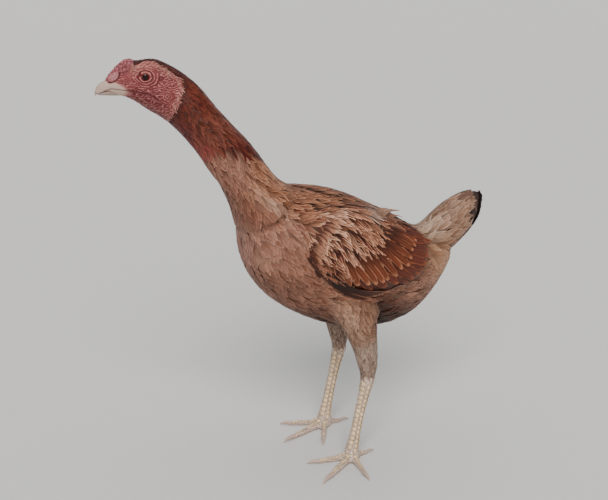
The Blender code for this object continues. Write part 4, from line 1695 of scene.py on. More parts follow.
    def open_eyes(self, moved: Rows, side: Rows) -> Rows:
        """Let the skin pass behind the eyeballs inside the lids.

        Args:
            moved: Points of the skin.
            side: Millimetres of each to the right.

        Returns:
            The points, moved.
        """
        for label in SIDES:
            low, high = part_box("eye_" + label)
            middle = (np.array(low) + np.array(high)) / 2.0
            sign = SIDES[label]
            out = self.anatomy.outward(sign)
            gap = moved - middle
            lateral = gap @ out
            reach = np.linalg.norm(gap - lateral[:, None] * out, axis=1) / MM
            near = (reach < 8.5) & (lateral > 0.0) & (side * sign > 0.0)
            ball = np.sqrt(np.maximum(self.face.eye_radius ** 2 - reach ** 2, 0.0)) * MM
            cup = np.maximum(ball - 1.6 * MM, 0.6 * MM)
            rim = np.maximum(ball + self.face.lid_height * MM, lateral)
            inside = ease(self.face.opening + 0.35, self.face.opening - 0.55, reach)
            lid = ease(7.0, 5.3, reach)
            goal = lateral * (1 - lid) + rim * lid
            goal = goal * (1 - inside) + cup * inside
            shift = np.where(near, goal - lateral, 0.0)
            moved = moved + shift[:, None] * out
        return moved

    def bare_bill(self, moved: Rows, normals: Rows, f: Rows, u: Rows, billed: Rows) -> Rows:
        """Let the skin pass inside the bill before its margin."""
        inside = ease(-0.6, 0.8, f - Face.margin(u)) * billed
        return moved - normals * (inside * 1.5 * MM)[:, None]

    def colour(self, shares: Rows, f: Rows, side: Rows, u: Rows, bare: Rows, comb: Rows,
               horny: Rows) -> Rows:
        """Colour of the skin at each point.

        Args:
            shares: Share of each tract at each point.
            f: Millimetres forward.
            side: Millimetres to the right.
            u: Millimetres up.
            bare: Share of bare skin.
            comb: Share of comb.
            horny: Share of the horny strip.

        Returns:
            The colours.
        """
        under = shares @ self.plumage.main * 0.7
        flesh = np.broadcast_to(np.array(tint(124, 55, 57)), under.shape)

        def lay(base: Rows, share: Rows, colour: Colour) -> Rows:
            """Put colour over base by share."""
            return base * (1.0 - share[:, None]) + np.array(colour) * share[:, None]

        edge = self.face.bare(f, side, u)
        red = lay(flesh, ease(-8.0, -20.0, u) * ease(-24.0, -10.0, f), tint(95, 28, 32))
        red = lay(red, ease(-26.0, -36.0, u) * 0.7, tint(98, 44, 43))
        red = lay(red, self.face.lore(f, u) * 0.6, tint(140, 72, 76))
        red = lay(red, ease(5.0, 10.0, u) * 0.6, tint(164, 100, 96))
        red = lay(red, ease(7.0, 1.5, edge) * 0.4, tint(176, 116, 108))
        ear = np.hypot(f - self.face.ear_at[0], u - self.face.ear_at[1])
        red = lay(red, ease(9.0, 4.0, ear) * 0.6, tint(134, 68, 66))
        # Painted shade: deep red darkens the hollow about 21 mm before the eye and 4.6 mm above it.
        painted_hollow_shade = ease(1.25, 0.4, np.hypot((f - 21.5) / 4.6, (u - 4.6) / 3.0))
        red = lay(red, painted_hollow_shade * 0.95, tint(80, 25, 31))
        soft = ease(-8.5, 0.5, f - Face.horn_edge(u)) * ease(12.0, 17.0, f)
        red = lay(red, soft * 0.75, tint(196, 142, 136))
        red = lay(red, horny * 0.95, tint(204, 184, 170))
        # Painted shade: a dark line along the mouth across the horny strip.
        mouth = np.interp(f, (19.0, 24.0, 30.0), (-14.6, -14.0, -13.4))
        red = lay(red, horny * ease(0.9, 0.2, np.abs(u - mouth)) * 0.85, tint(84, 52, 46))
        crest = lay(red, comb, tint(166, 104, 110))
        tip = ease(1.2, 0.5, Face.snub(f, u)) * comb
        crest = lay(crest, tip * 0.7, tint(190, 144, 144))
        bared = np.maximum(bare, comb)[:, None]
        return under * (1.0 - bared) + crest * bared


# ------------------------------------------------------------------ laying the coat
@dataclass(frozen=True)
class Quills:
    """A row of long feathers of wing or tail, from its first to its last.

    Places are forward and up in centimetres; sizes are in millimetres. bow lifts the
    middle of each feather's course, and rise is how high the row lies over the hull.
    """

    name: str
    count: int
    roots: Tuple[Pair, ...]
    tips: Tuple[Pair, ...]
    half_width: float
    depth: float
    rise: float
    main: Tuple[Colour, Colour]
    trim: Tuple[Colour, Colour]
    tip: Tip = Tip.ROUND
    bow: float = 0.0
    stack: float = 0.0
    ragged: float = 0.06
    # gap: strength of the painted shade at each quill's root and rims
    gap: float = 0.75
    free: bool = False


WING_ROWS = (
    Quills("wrist_shade", 32, ((-0.3, 28.9), (1.15, 27.75), (2.1, 26.3), (2.0, 24.75),
                               (1.15, 23.25), (-0.7, 21.9)),
           ((-1.2, 28.1), (0.3, 26.95), (1.3, 25.5), (1.2, 24.0), (0.3, 22.6), (-1.5, 21.4)),
           2.0, 0.9, 0.6, (tint(86, 48, 38), tint(58, 31, 25)),
           (tint(124, 78, 62), tint(84, 50, 40)), Tip.SQUARE, 0.0, 0.0, 0.08, 0.3),
    Quills("marginals", 38, ((-0.6, 28.8), (0.9, 27.6), (1.8, 26.2), (1.7, 24.8), (0.9, 23.4),
                             (-0.9, 22.0)),
           ((-1.8, 28.0), (-0.1, 26.8), (1.0, 25.4), (0.9, 24.0), (0.1, 22.7), (-1.9, 21.5)),
           1.6, 1.0, 1.2, (tint(170, 124, 106), tint(126, 80, 64)),
           (tint(226, 186, 164), tint(186, 138, 116)), Tip.SOFT, 0.1, 0.0, 0.10, 0.6),
    Quills("primaries", 7, ((1.0, 24.0), (-0.6, 23.0)),
           ((-5.4, 19.3), (-6.4, 19.8), (-7.4, 20.1)),
           2.6, 1.0, 1.8, (tint(46, 22, 17), tint(58, 29, 22)),
           (tint(150, 106, 88), tint(166, 120, 100)), Tip.ROUND, -0.95, 0.10),
    Quills("secondaries", 13, ((-1.8, 23.4), (-8.4, 25.7)),
           ((-5.2, 20.3), (-9.6, 20.5), (-11.9, 21.4), (-13.0, 23.0), (-12.6, 24.3)),
           4.8, 2.4, 0.3, (tint(87, 45, 35), tint(80, 39, 30)),
           (tint(138, 84, 64), tint(122, 68, 50)), Tip.ROUND, 0.2, 0.16),
    Quills("greater_coverts", 13, ((0.0, 25.0), (-7.4, 26.6)),
           ((-2.6, 21.2), (-6.2, 21.2), (-9.2, 22.6), (-11.0, 24.5)),
           3.8, 2.2, 0.7, (tint(108, 60, 44), tint(92, 46, 32)),
           (tint(186, 136, 112), tint(166, 112, 90)), Tip.ROUND, 0.25, 0.08, 0.10),
)

LOOSE_ROWS = (
    Quills("loose_coverts", 6, ((-6.3, 26.6), (-7.7, 25.7)),
           ((-8.9, 27.6), (-9.8, 27.4), (-10.2, 26.6), (-9.8, 25.4)),
           3.6, 1.8, 1.4, (tint(152, 120, 104), tint(120, 82, 66)),
           (tint(210, 188, 173), tint(178, 138, 118)), Tip.SOFT, 0.8, -0.12, 0.06, 0.6,
           True),
)

TAIL_ROWS = (
    Quills("rectrices", 9, ((-15.6, 24.6), (-15.4, 22.6)),
           ((-20.9, 27.9), (-21.6, 26.9), (-21.7, 25.7), (-20.9, 24.2), (-19.8, 23.1)),
           5.6, 0.6, -1.45, (tint(50, 36, 31), tint(44, 31, 27)),
           (tint(104, 84, 74), tint(108, 86, 76)), Tip.ROUND, 0.1, -0.06, 0.05, 0.5),
)


@dataclass
class Coat:
    """Lays the feathers over the hull and joins them into pieces; sizes in metres."""

    anatomy: Anatomy
    plumage: Plumage
    hull: Hull
    solids: Solids
    face: Face
    dice: Dice = field(default_factory=lambda: np.random.default_rng(SEED))
    samples: int = 6
    crowd: float = 7.0
    head_from: Pair = (0.120, 0.375)
    legs_end: float = 0.1005
    fringe_spacing: float = 1.25 * MM
    wing_border: float = 0.007
    inner_room: float = 0.019
    inner_slope: float = 0.35
    rear_slope: float = 0.62
    band_from: float = 0.222
    walk_limit: float = 0.30
    dark_main: Colour = tint(50, 37, 32)
    dark_trim: Colour = tint(96, 78, 68)

    def candidates(self) -> Tuple[Rows, ...]:
        """Scatter more places than needed, densest where feathers are small.

        Returns:
            Points, and each point's face of the hull, spacing and numbered solid.
        """
        spots, _ = self.anatomy.read(self.hull.centres)
        owner = self.solids.owners(self.hull.centres)
        shares = self.plumage.weights(spots, self.part(owner))
        spacing = self.spacing(spots, shares)
        hope = self.hull.areas / spacing ** 2 / (shares @ self.plumage.stretch)
        count = int(hope.sum() * self.crowd)
        faces = self.dice.choice(len(hope), count, p=hope / hope.sum())
        corners = self.hull.corners[faces]
        first, second = self.dice.random((2, count, 1))
        points = corners[:, 0] + first * (corners[:, 1] - corners[:, 0])
        points = points + second * (corners[:, 2] - corners[:, 1])
        return points, faces, spacing[faces], owner[faces]

    def part(self, owner: Rows) -> Rows:
        """Part of the coat that each numbered solid belongs to.

        Args:
            owner: Numbers of solids.

        Returns:
            Number of the part of each.
        """
        names = np.array(self.solids.names)
        table = np.full(len(names), BODY.value)
        table[np.char.startswith(names, "wing")] = WING.value
        table[np.char.startswith(names, "thigh")] = LEG.value
        return table[owner]

    def on_head(self, spots: Rows) -> Rows:
        """Whether each spot is on the head."""
        return (spots[:, 0] > self.head_from[0]) & (spots[:, 2] > self.head_from[1])

    def turned(self, normals: Rows, spots: Rows) -> Rows:
        """Whether the surface faces inwards or to the rear at each spot."""
        return normals[:, 1] * np.sign(spots[:, 1]) < self.inner_slope

    def spacing(self, spots: Rows, shares: Rows) -> Rows:
        """Distance between feathers at the spots, given their shares of the tracts."""
        fringe = self.on_head(spots) & (self.face.bare(*self.anatomy.face(spots)) > 0.0)
        return np.where(fringe, self.fringe_spacing, (shares @ self.plumage.size)[:, 2])

    def thin_out(self, points: Rows, spacing: Rows, course: Rows, stretch: Rows) -> Rows:
        """Keep points that are at least their spacing apart.

        Args:
            points: Scattered points.
            spacing: Distance to keep across the lie of the coat.
            course: Direction of the lie at each point.
            stretch: How many times as far the points stay apart along the lie.

        Returns:
            Numbers of the kept points.
        """
        tree = KDTree(len(points))
        for row, point in enumerate(points):
            tree.insert(point, row)
        tree.balance()
        alive = np.ones(len(points), bool)
        kept = []
        for row in range(len(points)):
            if not alive[row]:
                continue
            kept.append(row)
            reach = spacing[row] * stretch[row]
            others = np.array([n for _, n, _ in tree.find_range(points[row], reach)])
            gap = points[others] - points[row]
            along = gap @ course[row]
            across2 = (gap * gap).sum(1) - along * along
            near = (along / reach) ** 2 + across2 / spacing[row] ** 2 < 1.0
            alive[others[near]] = False
        return np.array(kept)

    def scatter(self) -> Dict[str, Rows]:
        """Choose the roots of the contour feathers.

        Returns:
            What is known of each root, by name.
        """
        points, faces, spacing, owner = self.candidates()
        names = np.array(self.solids.names)[owner]
        spots, heading = self.anatomy.read(points)
        f, side, u = self.anatomy.face(spots)
        on_head = self.on_head(spots)
        edge = np.where(on_head, self.face.bare(f, side, u), -9.0)
        patchy = 1.5 * self.blotch(points * 1.8)
        fringe = (edge > 0.0) & (self.dice.random(len(edge)) < ease(7.0, 1.0, edge + patchy))
        good = (edge <= 0.0) | fringe
        good &= spots[:, 2] > self.legs_end
        good &= ~np.isin(names, CLOSING)
        good &= ~((names == "comb") & (f > 12.0))
        good &= ~(on_head & (f > 19.0))
        behind = self.hull.normals[faces][:, 0] > self.rear_slope
        good &= ~((spots[:, 0] < self.tail_band(spots) + 0.012) & (spots[:, 2] > self.band_from)
                  & ~behind)
        roomy = self.wing_room(spots) > self.wing_border
        roomy |= self.turned(self.hull.normals[faces], spots)
        good &= (self.part(owner) != WING.value) | roomy
        rows = np.nonzero(good)[0]
        shares = self.plumage.weights(spots[rows], self.part(owner[rows]))
        side = np.where(spots[rows, 1] < 0.0, -1.0, 1.0)
        course = self.anatomy.direction(shares @ self.plumage.lie, heading[rows], side)
        stretch = np.where(fringe[rows], 1.0, shares @ self.plumage.stretch)
        kept = rows[self.thin_out(points[rows], spacing[rows], course, stretch)]
        return {"point": points[kept], "normal": self.hull.normals[faces[kept]], "spot": spots[kept],
                "heading": heading[kept], "part": self.part(owner[kept]), "edge": edge[kept],
                "name": names[kept]}

    @staticmethod
    def tail_band(spots: Rows) -> Rows:
        """Where the dark band of the tail begins, forward, at each spot's height."""
        return -0.202 + 0.38 * np.maximum(0.262 - spots[:, 2], 0.0)

    @staticmethod
    def wing_room(spots: Rows) -> Rows:
        """Distance that feathers of the wing have to its lower and rear edges.

        Args:
            spots: Places on the hen, one row each.

        Returns:
            The distance in metres.
        """
        low = np.interp(spots[:, 0], (-0.119, -0.090, -0.060, -0.030, -0.008, 0.014, 0.022),
                        (0.258, 0.250, 0.236, 0.224, 0.218, 0.236, 0.262))
        return np.minimum((spots[:, 2] - low) / 0.85, (spots[:, 0] + 0.130) / 0.78)

    def walk(self, point: Rows, normal: Rows, part: Rows,
             length: Rows, limit: float) -> Tuple[Rows, Rows]:
        """Lead each feather over the hull along the lie of the coat.

        Args:
            point: Roots.
            normal: Normals there.
            part: Part of the coat of each.
            length: Length of each.
            limit: How far, as a share of a step, a feather may drop to follow the hull.

        Returns:
            Spines and normals with one row of samples a feather.
        """
        spine, normals = [point], [normal]
        step = length / (self.samples - 1)
        calm = np.where(part == WING.value, 0.6, 1.0)
        twist = self.dice.normal(0.0, 0.13, len(point)) * calm
        curl = self.dice.normal(0.0, 0.08, len(point)) * calm
        for _ in range(self.samples - 1):
            twist = twist + curl
            spots, heading = self.anatomy.read(point)
            shares = self.plumage.weights(spots, part)
            lie = shares @ self.plumage.lie
            side = np.where(spots[:, 1] < 0.0, -1.0, 1.0)
            course = self.anatomy.direction(lie, heading, side)
            course = course + np.cross(normal, course) * twist[:, None]
            course = unit(course - normal * (course * normal).sum(1, keepdims=True))
            ahead = point + course * step[:, None]
            found, there = self.hull.nearest(ahead)
            gap = found - ahead
            drop = (gap * normal).sum(1)
            low = np.maximum(-limit * step - drop, 0.0)
            free = low > 0.0
            point = found + normal * low[:, None]
            there = np.where(free[:, None], unit(normal + there * 0.25), there)
            normal = unit(normal * 0.35 + there)
            spine.append(point)
            normals.append(normal)
        return np.stack(spine, 1), np.stack(normals, 1)

    def contour(self) -> List[Tuple[str, Plume]]:
        """Make the contour feathers of the whole hen.

        Returns:
            Pairs of a region's name and its feathers.
        """
        roots = self.scatter()
        spots, count = roots["spot"], len(roots["point"])
        shares = self.plumage.weights(spots, roots["part"])
        size = shares @ self.plumage.size
        ragged = shares @ self.plumage.ragged
        length, half_width, depth, girth = size[:, 0], size[:, 1], size[:, 3], size[:, 4]
        edge = roots["edge"]
        fringe = edge > 0.0
        length = np.where(fringe, self.dice.uniform(2.2, 4.4, count) * MM, length)
        half_width = np.where(fringe, 0.42 * MM, half_width)
        depth = np.where(fringe, 0.15 * MM, depth)
        rosy, pale = np.array(tint(158, 92, 86)), np.array(tint(214, 164, 152))
        white = np.array(tint(236, 206, 196))
        length = length * self.dice.uniform(0.86, 1.14, count)
        tail = (spots[:, 0] < -0.15) & (spots[:, 2] > 0.235)
        room = np.maximum((spots[:, 0] - self.tail_band(spots)) / 0.84, 0.009)
        length = np.where(tail, np.minimum(length, room), length)
        wing = roots["part"] == WING.value
        room = self.wing_room(spots)
        turned = self.turned(roots["normal"], spots)
        room = np.where(turned, np.maximum(room, self.inner_room), room)
        length = np.where(wing, np.minimum(length, room + 0.0025), length)
        half_width = half_width * self.dice.uniform(0.88, 1.12, count)
        spine, normals = self.walk(roots["point"], roots["normal"], roots["part"], length,
                                   self.walk_limit)
        hackle = self.plumage.collar(spots) > 0.5
        shown, _ = self.anatomy.read(spine[:, -2])
        seen = self.plumage.weights(shown, roots["part"])
        seen = np.where(hackle[:, None], shares, seen)
        main, trim = seen @ self.plumage.main, seen @ self.plumage.trim
        mixed = np.clip(self.dice.normal(0.0, 0.16, count), -0.3, 0.4)[:, None]
        main, trim = main + (trim - main) * mixed, trim - (trim - main) * mixed * 0.6
        self.plumage.accent(shown, main, trim, self.dice)
        dark = (spots[:, 0] < self.tail_band(spots) + 0.004) & (spots[:, 2] > 0.226)
        main = np.where(dark[:, None], np.array(self.dark_main), main)
        trim = np.where(dark[:, None], np.array(self.dark_trim), trim)
        tuft = self.dice.random(count)[:, None]
        main = np.where(fringe[:, None], rosy + (pale - rosy) * tuft, main)
        trim = np.where(fringe[:, None], pale + (white - pale) * tuft, trim)
        blotch = self.blotch(roots["point"])
        tone = 1.0 + self.dice.normal(0.0, 0.09, count) + blotch * 0.27
        thick = np.clip(half_width * 0.045, 0.05 * MM, 0.13 * MM)
        lift = self.dice.uniform(0.0, 1.0, count) * np.where(fringe, 0.7 * MM, half_width * 0.08)
        roll = self.dice.normal(0.0, 0.035, count)
        chart = self.hull.chart(roots["point"])
        whole = Plume(Tip.ROUND, spine, normals, half_width, depth, girth, main, trim,
                      np.clip(tone, 0.55, 1.5), shares @ self.plumage.gap, chart, ragged, thick, lift,
                      roll)
        region = self.region(spots, roots["part"], hackle)
        pieces = []
        for name in sorted(set(region)):
            chosen = np.nonzero(region == name)[0]
            batch = whole.pick(chosen)
            batch.tip = Tip.POINTED if name in ("head", "neck") else Tip.SOFT
            pieces.append((str(name), batch))
        return pieces

    def blotch(self, points: Rows) -> Rows:
        """Slow darker and lighter places of the coat, about -1 to 1."""
        return np.array([noise.noise(Vector(p) / 0.011) + 0.7 * noise.noise(Vector(p) / 0.028)
                         for p in points])

    @staticmethod
    def region(spots: Rows, part: Rows, hackle: Rows) -> Rows:
        """Name of the coat piece that each feather belongs to.

        Args:
            spots: Places on the hen, one row each.
            part: Part of the coat of each.
            hackle: Whether each is in the dark hackle.

        Returns:
            The names.
        """
        forward, lateral, up = spots.T
        made = np.full(len(spots), "back", dtype="<U16")
        made[(forward > 0.012)] = "breast"
        made[(up < 0.200) & (forward <= 0.03)] = "belly"
        made[(forward < -0.128) & (up > 0.19)] = "tail"
        made[hackle] = "neck"
        made[(forward > 0.120) & (up > 0.385)] = "head"
        left = lateral < 0.0
        wing = part == WING.value
        made[wing & left] = "wing_left"
        made[wing & ~left] = "wing_right"
        leg = part == LEG.value
        made[leg & left] = "thigh_left"
        made[leg & ~left] = "thigh_right"
        return made

    @staticmethod
    def spread(line: Sequence[Pair], share: Rows) -> Rows:
        """Places at the shares along a line given in centimetres.

        Args:
            line: Corners of the line.
            share: Shares of the way along it, its corners evenly spread.

        Returns:
            Places in metres.
        """
        knots = np.linspace(0.0, 1.0, len(line))
        ends = np.array(line) * CM
        return np.stack([np.interp(share, knots, ends[:, k]) for k in (0, 1)], 1)

    def row(self, quills: Quills, side: float) -> Plume:
        """Lay one row of quills on one side.

        Args:
            quills: The row.
            side: -1 for her left, 1 for her right.

        Returns:
            The feathers.
        """
        count, samples = quills.count, self.samples + 2
        share = np.linspace(0.0, 1.0, count)
        roots, tips = self.spread(quills.roots, share), self.spread(quills.tips, share)
        tips = tips + self.dice.normal(0.0, 0.0014, tips.shape)
        roots = roots + self.dice.normal(0.0, 0.0012, roots.shape)
        along = np.linspace(0.0, 1.0, samples)
        flat = roots[:, None] + (tips - roots)[:, None] * along[None, :, None]
        course = unit(tips - roots)
        upward = np.stack([-course[:, 1], course[:, 0]], 1)
        upward = upward * np.sign(upward[:, 1:2] + 1e-9)
        hump = (4.0 * along * (1.0 - along))[None, :, None]
        flat = flat + upward[:, None] * hump * quills.bow * CM
        spots = np.stack([flat[..., 0], np.full(flat.shape[:2], side * 0.15), flat[..., 1]],
                         2).reshape(-1, 3)
        starts = self.anatomy.place(spots)
        points, normals = [], []
        for start in starts:
            hit = self.hull.tree.ray_cast(Vector(start), Vector((0.0, -side, 0.0)), 0.142)
            if hit[0] is None:
                near = Vector((start[0], self.anatomy.origin[1] + side * 0.03, start[2]))
                hit = self.hull.tree.find_nearest(near)
            here = (start[0], hit[0][1], start[2]) if quills.free else tuple(hit[0])
            points.append(here)
            normals.append(self.hull.normals[hit[2]])
        spine = np.array(points).reshape(count, samples, 3)
        normal = np.array(normals).reshape(count, samples, 3)
        for _ in range(3):
            normal[:, 1:-1] = unit(normal[:, :-2] + normal[:, 1:-1] + normal[:, 2:])
            spine[:, 1:-1] = (spine[:, :-2] + 2.0 * spine[:, 1:-1] + spine[:, 2:]) / 4.0
        rise = (quills.rise + quills.stack * np.arange(count)) * MM
        spine = spine + normal * rise[:, None, None]
        chart = self.hull.chart(spine[:, 0])
        main, trim = (np.array(first) + share[:, None] * (np.array(last) - np.array(first)) for first,
                      last in (quills.main, quills.trim))
        ones = np.ones(count)
        tone = 1.0 + self.dice.normal(0.0, 0.09, count)
        wide = quills.half_width * MM * self.dice.uniform(0.86, 1.14, count)
        return Plume(quills.tip, spine, normal, wide, quills.depth * MM * ones, 0.05 * ones, main, trim,
                     tone, quills.gap * ones, chart, quills.ragged * ones, 0.3 * MM * ones,
                     0.3 * MM * ones, self.dice.normal(0.0, 0.02, count))

    def build(self, finishes: Dict[str, Material]) -> None:
        """Lay every feather and make the pieces.

        Args:
            finishes: Materials by name.
        """
        vanes = {"head": Vane(4, 5), "neck": Vane(6, 7), "quills": Vane(8, 16)}
        plain = Vane(8, 8)
        for name, batch in self.contour():
            vane = vanes.get(name, plain)
            slot = "mahogany_feather" if name in ("head", "neck") else "rusty_feather"
            if name == "tail":
                slot = "buff_feather"
            CoatPiece("coat_" + name, vane).build([batch], finishes[slot], slot)
        for label, side in SIDES.items():
            for group, rows, slot in (("quills_wing_", WING_ROWS, "mahogany_feather"),
                                      ("quills_tail_", TAIL_ROWS, "buff_feather")):
                if label == "left" and group == "quills_wing_":
                    rows = rows + LOOSE_ROWS
                batches = [self.row(quills, side) for quills in rows]
                CoatPiece(group + label, vanes["quills"]).build(batches, finishes["quill"], slot)


# ------------------------------------------------------------------ eyes and horn
@dataclass
class Eye:
    """Eyeball with a bulging cornea; sizes in millimetres."""

    label: str
    anatomy: Anatomy
    radius: float = 5.75
    bulge: float = 0.35
    cornea: float = 4.6

    def build(self, finish: Material) -> Piece:
        """Make the eyeball.

        Args:
            finish: Its material.

        Returns:
            The eyeball.
        """
        low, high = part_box("eye_" + self.label)
        middle = (np.array(low) + np.array(high)) / 2.0
        out = self.anatomy.outward(SIDES[self.label])
        shape = bmesh.new()
        bmesh.ops.create_uvsphere(shape, u_segments=56, v_segments=44, radius=self.radius * MM)
        for vertex in shape.verts:
            reach = math.hypot(vertex.co.x, vertex.co.y) / MM
            if vertex.co.z > 0.0:
                vertex.co.z += self.bulge * MM * max(0.0, 1.0 - (reach / self.cornea) ** 2)
        shape.verts.index_update()
        rings = [math.hypot(v.co.x, v.co.y) / MM if v.co.z > 0.0 else 9.0 for v in shape.verts]
        turn = Vector((0.0, 0.0, 1.0)).rotation_difference(Vector(out)).to_matrix()
        bmesh.ops.rotate(shape, verts=shape.verts, matrix=turn)
        bmesh.ops.translate(shape, verts=shape.verts, vec=Vector(middle))
        mesh = smooth_mesh("eyeball_" + self.label, shape, finish)
        put_values(mesh, "ring", np.array(rings))
        piece = link("eyeball_" + self.label, mesh)
        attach(piece, ROOT)
        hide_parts("eye_" + self.label)
        LOG.info("%s made", piece.name)
        return piece


@dataclass
class Horn:
    """Finer copy of a solid of horn: the bill's halves and the claws."""

    node: str
    anatomy: Anatomy
    rounds: int = 2
    root: float = 4.0
    nostril_at: Pair = (31.5, -10.2)
    nostril_depth: float = 0.9

    def build(self, finish: Material) -> Piece:
        """Make the piece of horn.

        Args:
            finish: Its material.

        Returns:
            The piece.
        """
        shape = bmesh.new()
        shape.from_mesh(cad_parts[self.node].data)
        bmesh.ops.remove_doubles(shape, verts=shape.verts, dist=SAME_PLACE)
        bmesh.ops.join_triangles(shape, faces=shape.faces, angle_face_threshold=0.6,
                                 angle_shape_threshold=0.6)
        for _ in range(self.rounds):
            bmesh.ops.subdivide_edges(shape, edges=shape.edges, cuts=1, use_grid_fill=True)
            relax(shape, shape.verts)
        shape.normal_update()
        points = positions(shape.verts)
        spots, _ = self.anatomy.read(points)
        f, side, u = self.anatomy.face(spots)
        groove, flush = np.zeros(len(points)), np.zeros(len(points))
        if self.node.startswith("bill"):
            groove = self.dress(shape, f, side, u)
            flush = ease(4.0, 0.4, f - Face.margin(u)) * ease(-13.5, -11.0, u) * 0.85
        else:
            self.reach_back(shape, points)
        for vertex in shape.verts:
            vertex.co.z = max(vertex.co.z, 0.0)
        mesh = smooth_mesh("horn_" + self.node, shape, finish)
        put_values(mesh, "groove", groove)
        put_values(mesh, "flush", flush)
        piece = link("horn_" + self.node, mesh)
        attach(piece, ROOT)
        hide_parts(self.node)
        LOG.info("%s made", piece.name)
        return piece

    def reach_back(self, shape: Shape, points: Rows) -> None:
        """Push the base of a claw back into its toe.

        Args:
            shape: The claw, which changes.
            points: Points in the frame, one row each.
        """
        low, high = (np.array(v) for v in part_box("foot_" + self.node.split("_")[1]))
        axis = points.mean(0) - (low + high) / 2.0
        axis[2] = 0.0
        axis = unit(axis)
        along = points @ axis
        share = (along - along.min()) / (along.max() - along.min())
        for vertex, part in zip(shape.verts, share):
            vertex.co -= Vector(axis) * self.root * MM * ease(0.5, 0.0, part)

    def dress(self, shape: Shape, f: Rows, side: Rows, u: Rows) -> Rows:
        """Open the nostrils and darken the ridge of the bill, with painted shade in the nostrils and
        along the mouth line.

        Args:
            shape: The half of the bill, which changes.
            f: Millimetres forward.
            side: Millimetres to the right.
            u: Millimetres up.

        Returns:
            How dark each vertex is, 0 to 1.
        """
        if self.node == "bill_lower":
            # The lower half is darker all over, and more so towards its top edge, which is painted shade
            # under the upper half.
            return 0.32 + ease(-17.4, -15.8, u) * 0.4
        mouth = np.interp(f, (26.0, 32.0, 38.0, 42.0, 45.0), (-13.4, -13.2, -14.6, -16.4, -18.4))
        # Painted shade along the mouth line between the halves.
        cutting = ease(1.2, 0.3, np.abs(u - mouth)) * 0.55
        ahead = f - self.nostril_at[0]
        nostril = np.hypot(ahead / 2.6, (u - self.nostril_at[1] + ahead * 0.35) / 0.9)
        # The nostrils are sunk and darkened with painted shade.
        sunk = ease(1.0, 0.3, nostril)
        for vertex, share in zip(shape.verts, sunk):
            vertex.co -= vertex.normal * share * self.nostril_depth * MM
        culmen = ease(1.1, 0.2, np.abs(side)) * ease(34.0, 42.0, f) * 0.5
        return np.clip(sunk + culmen + cutting, 0.0, 1.0)


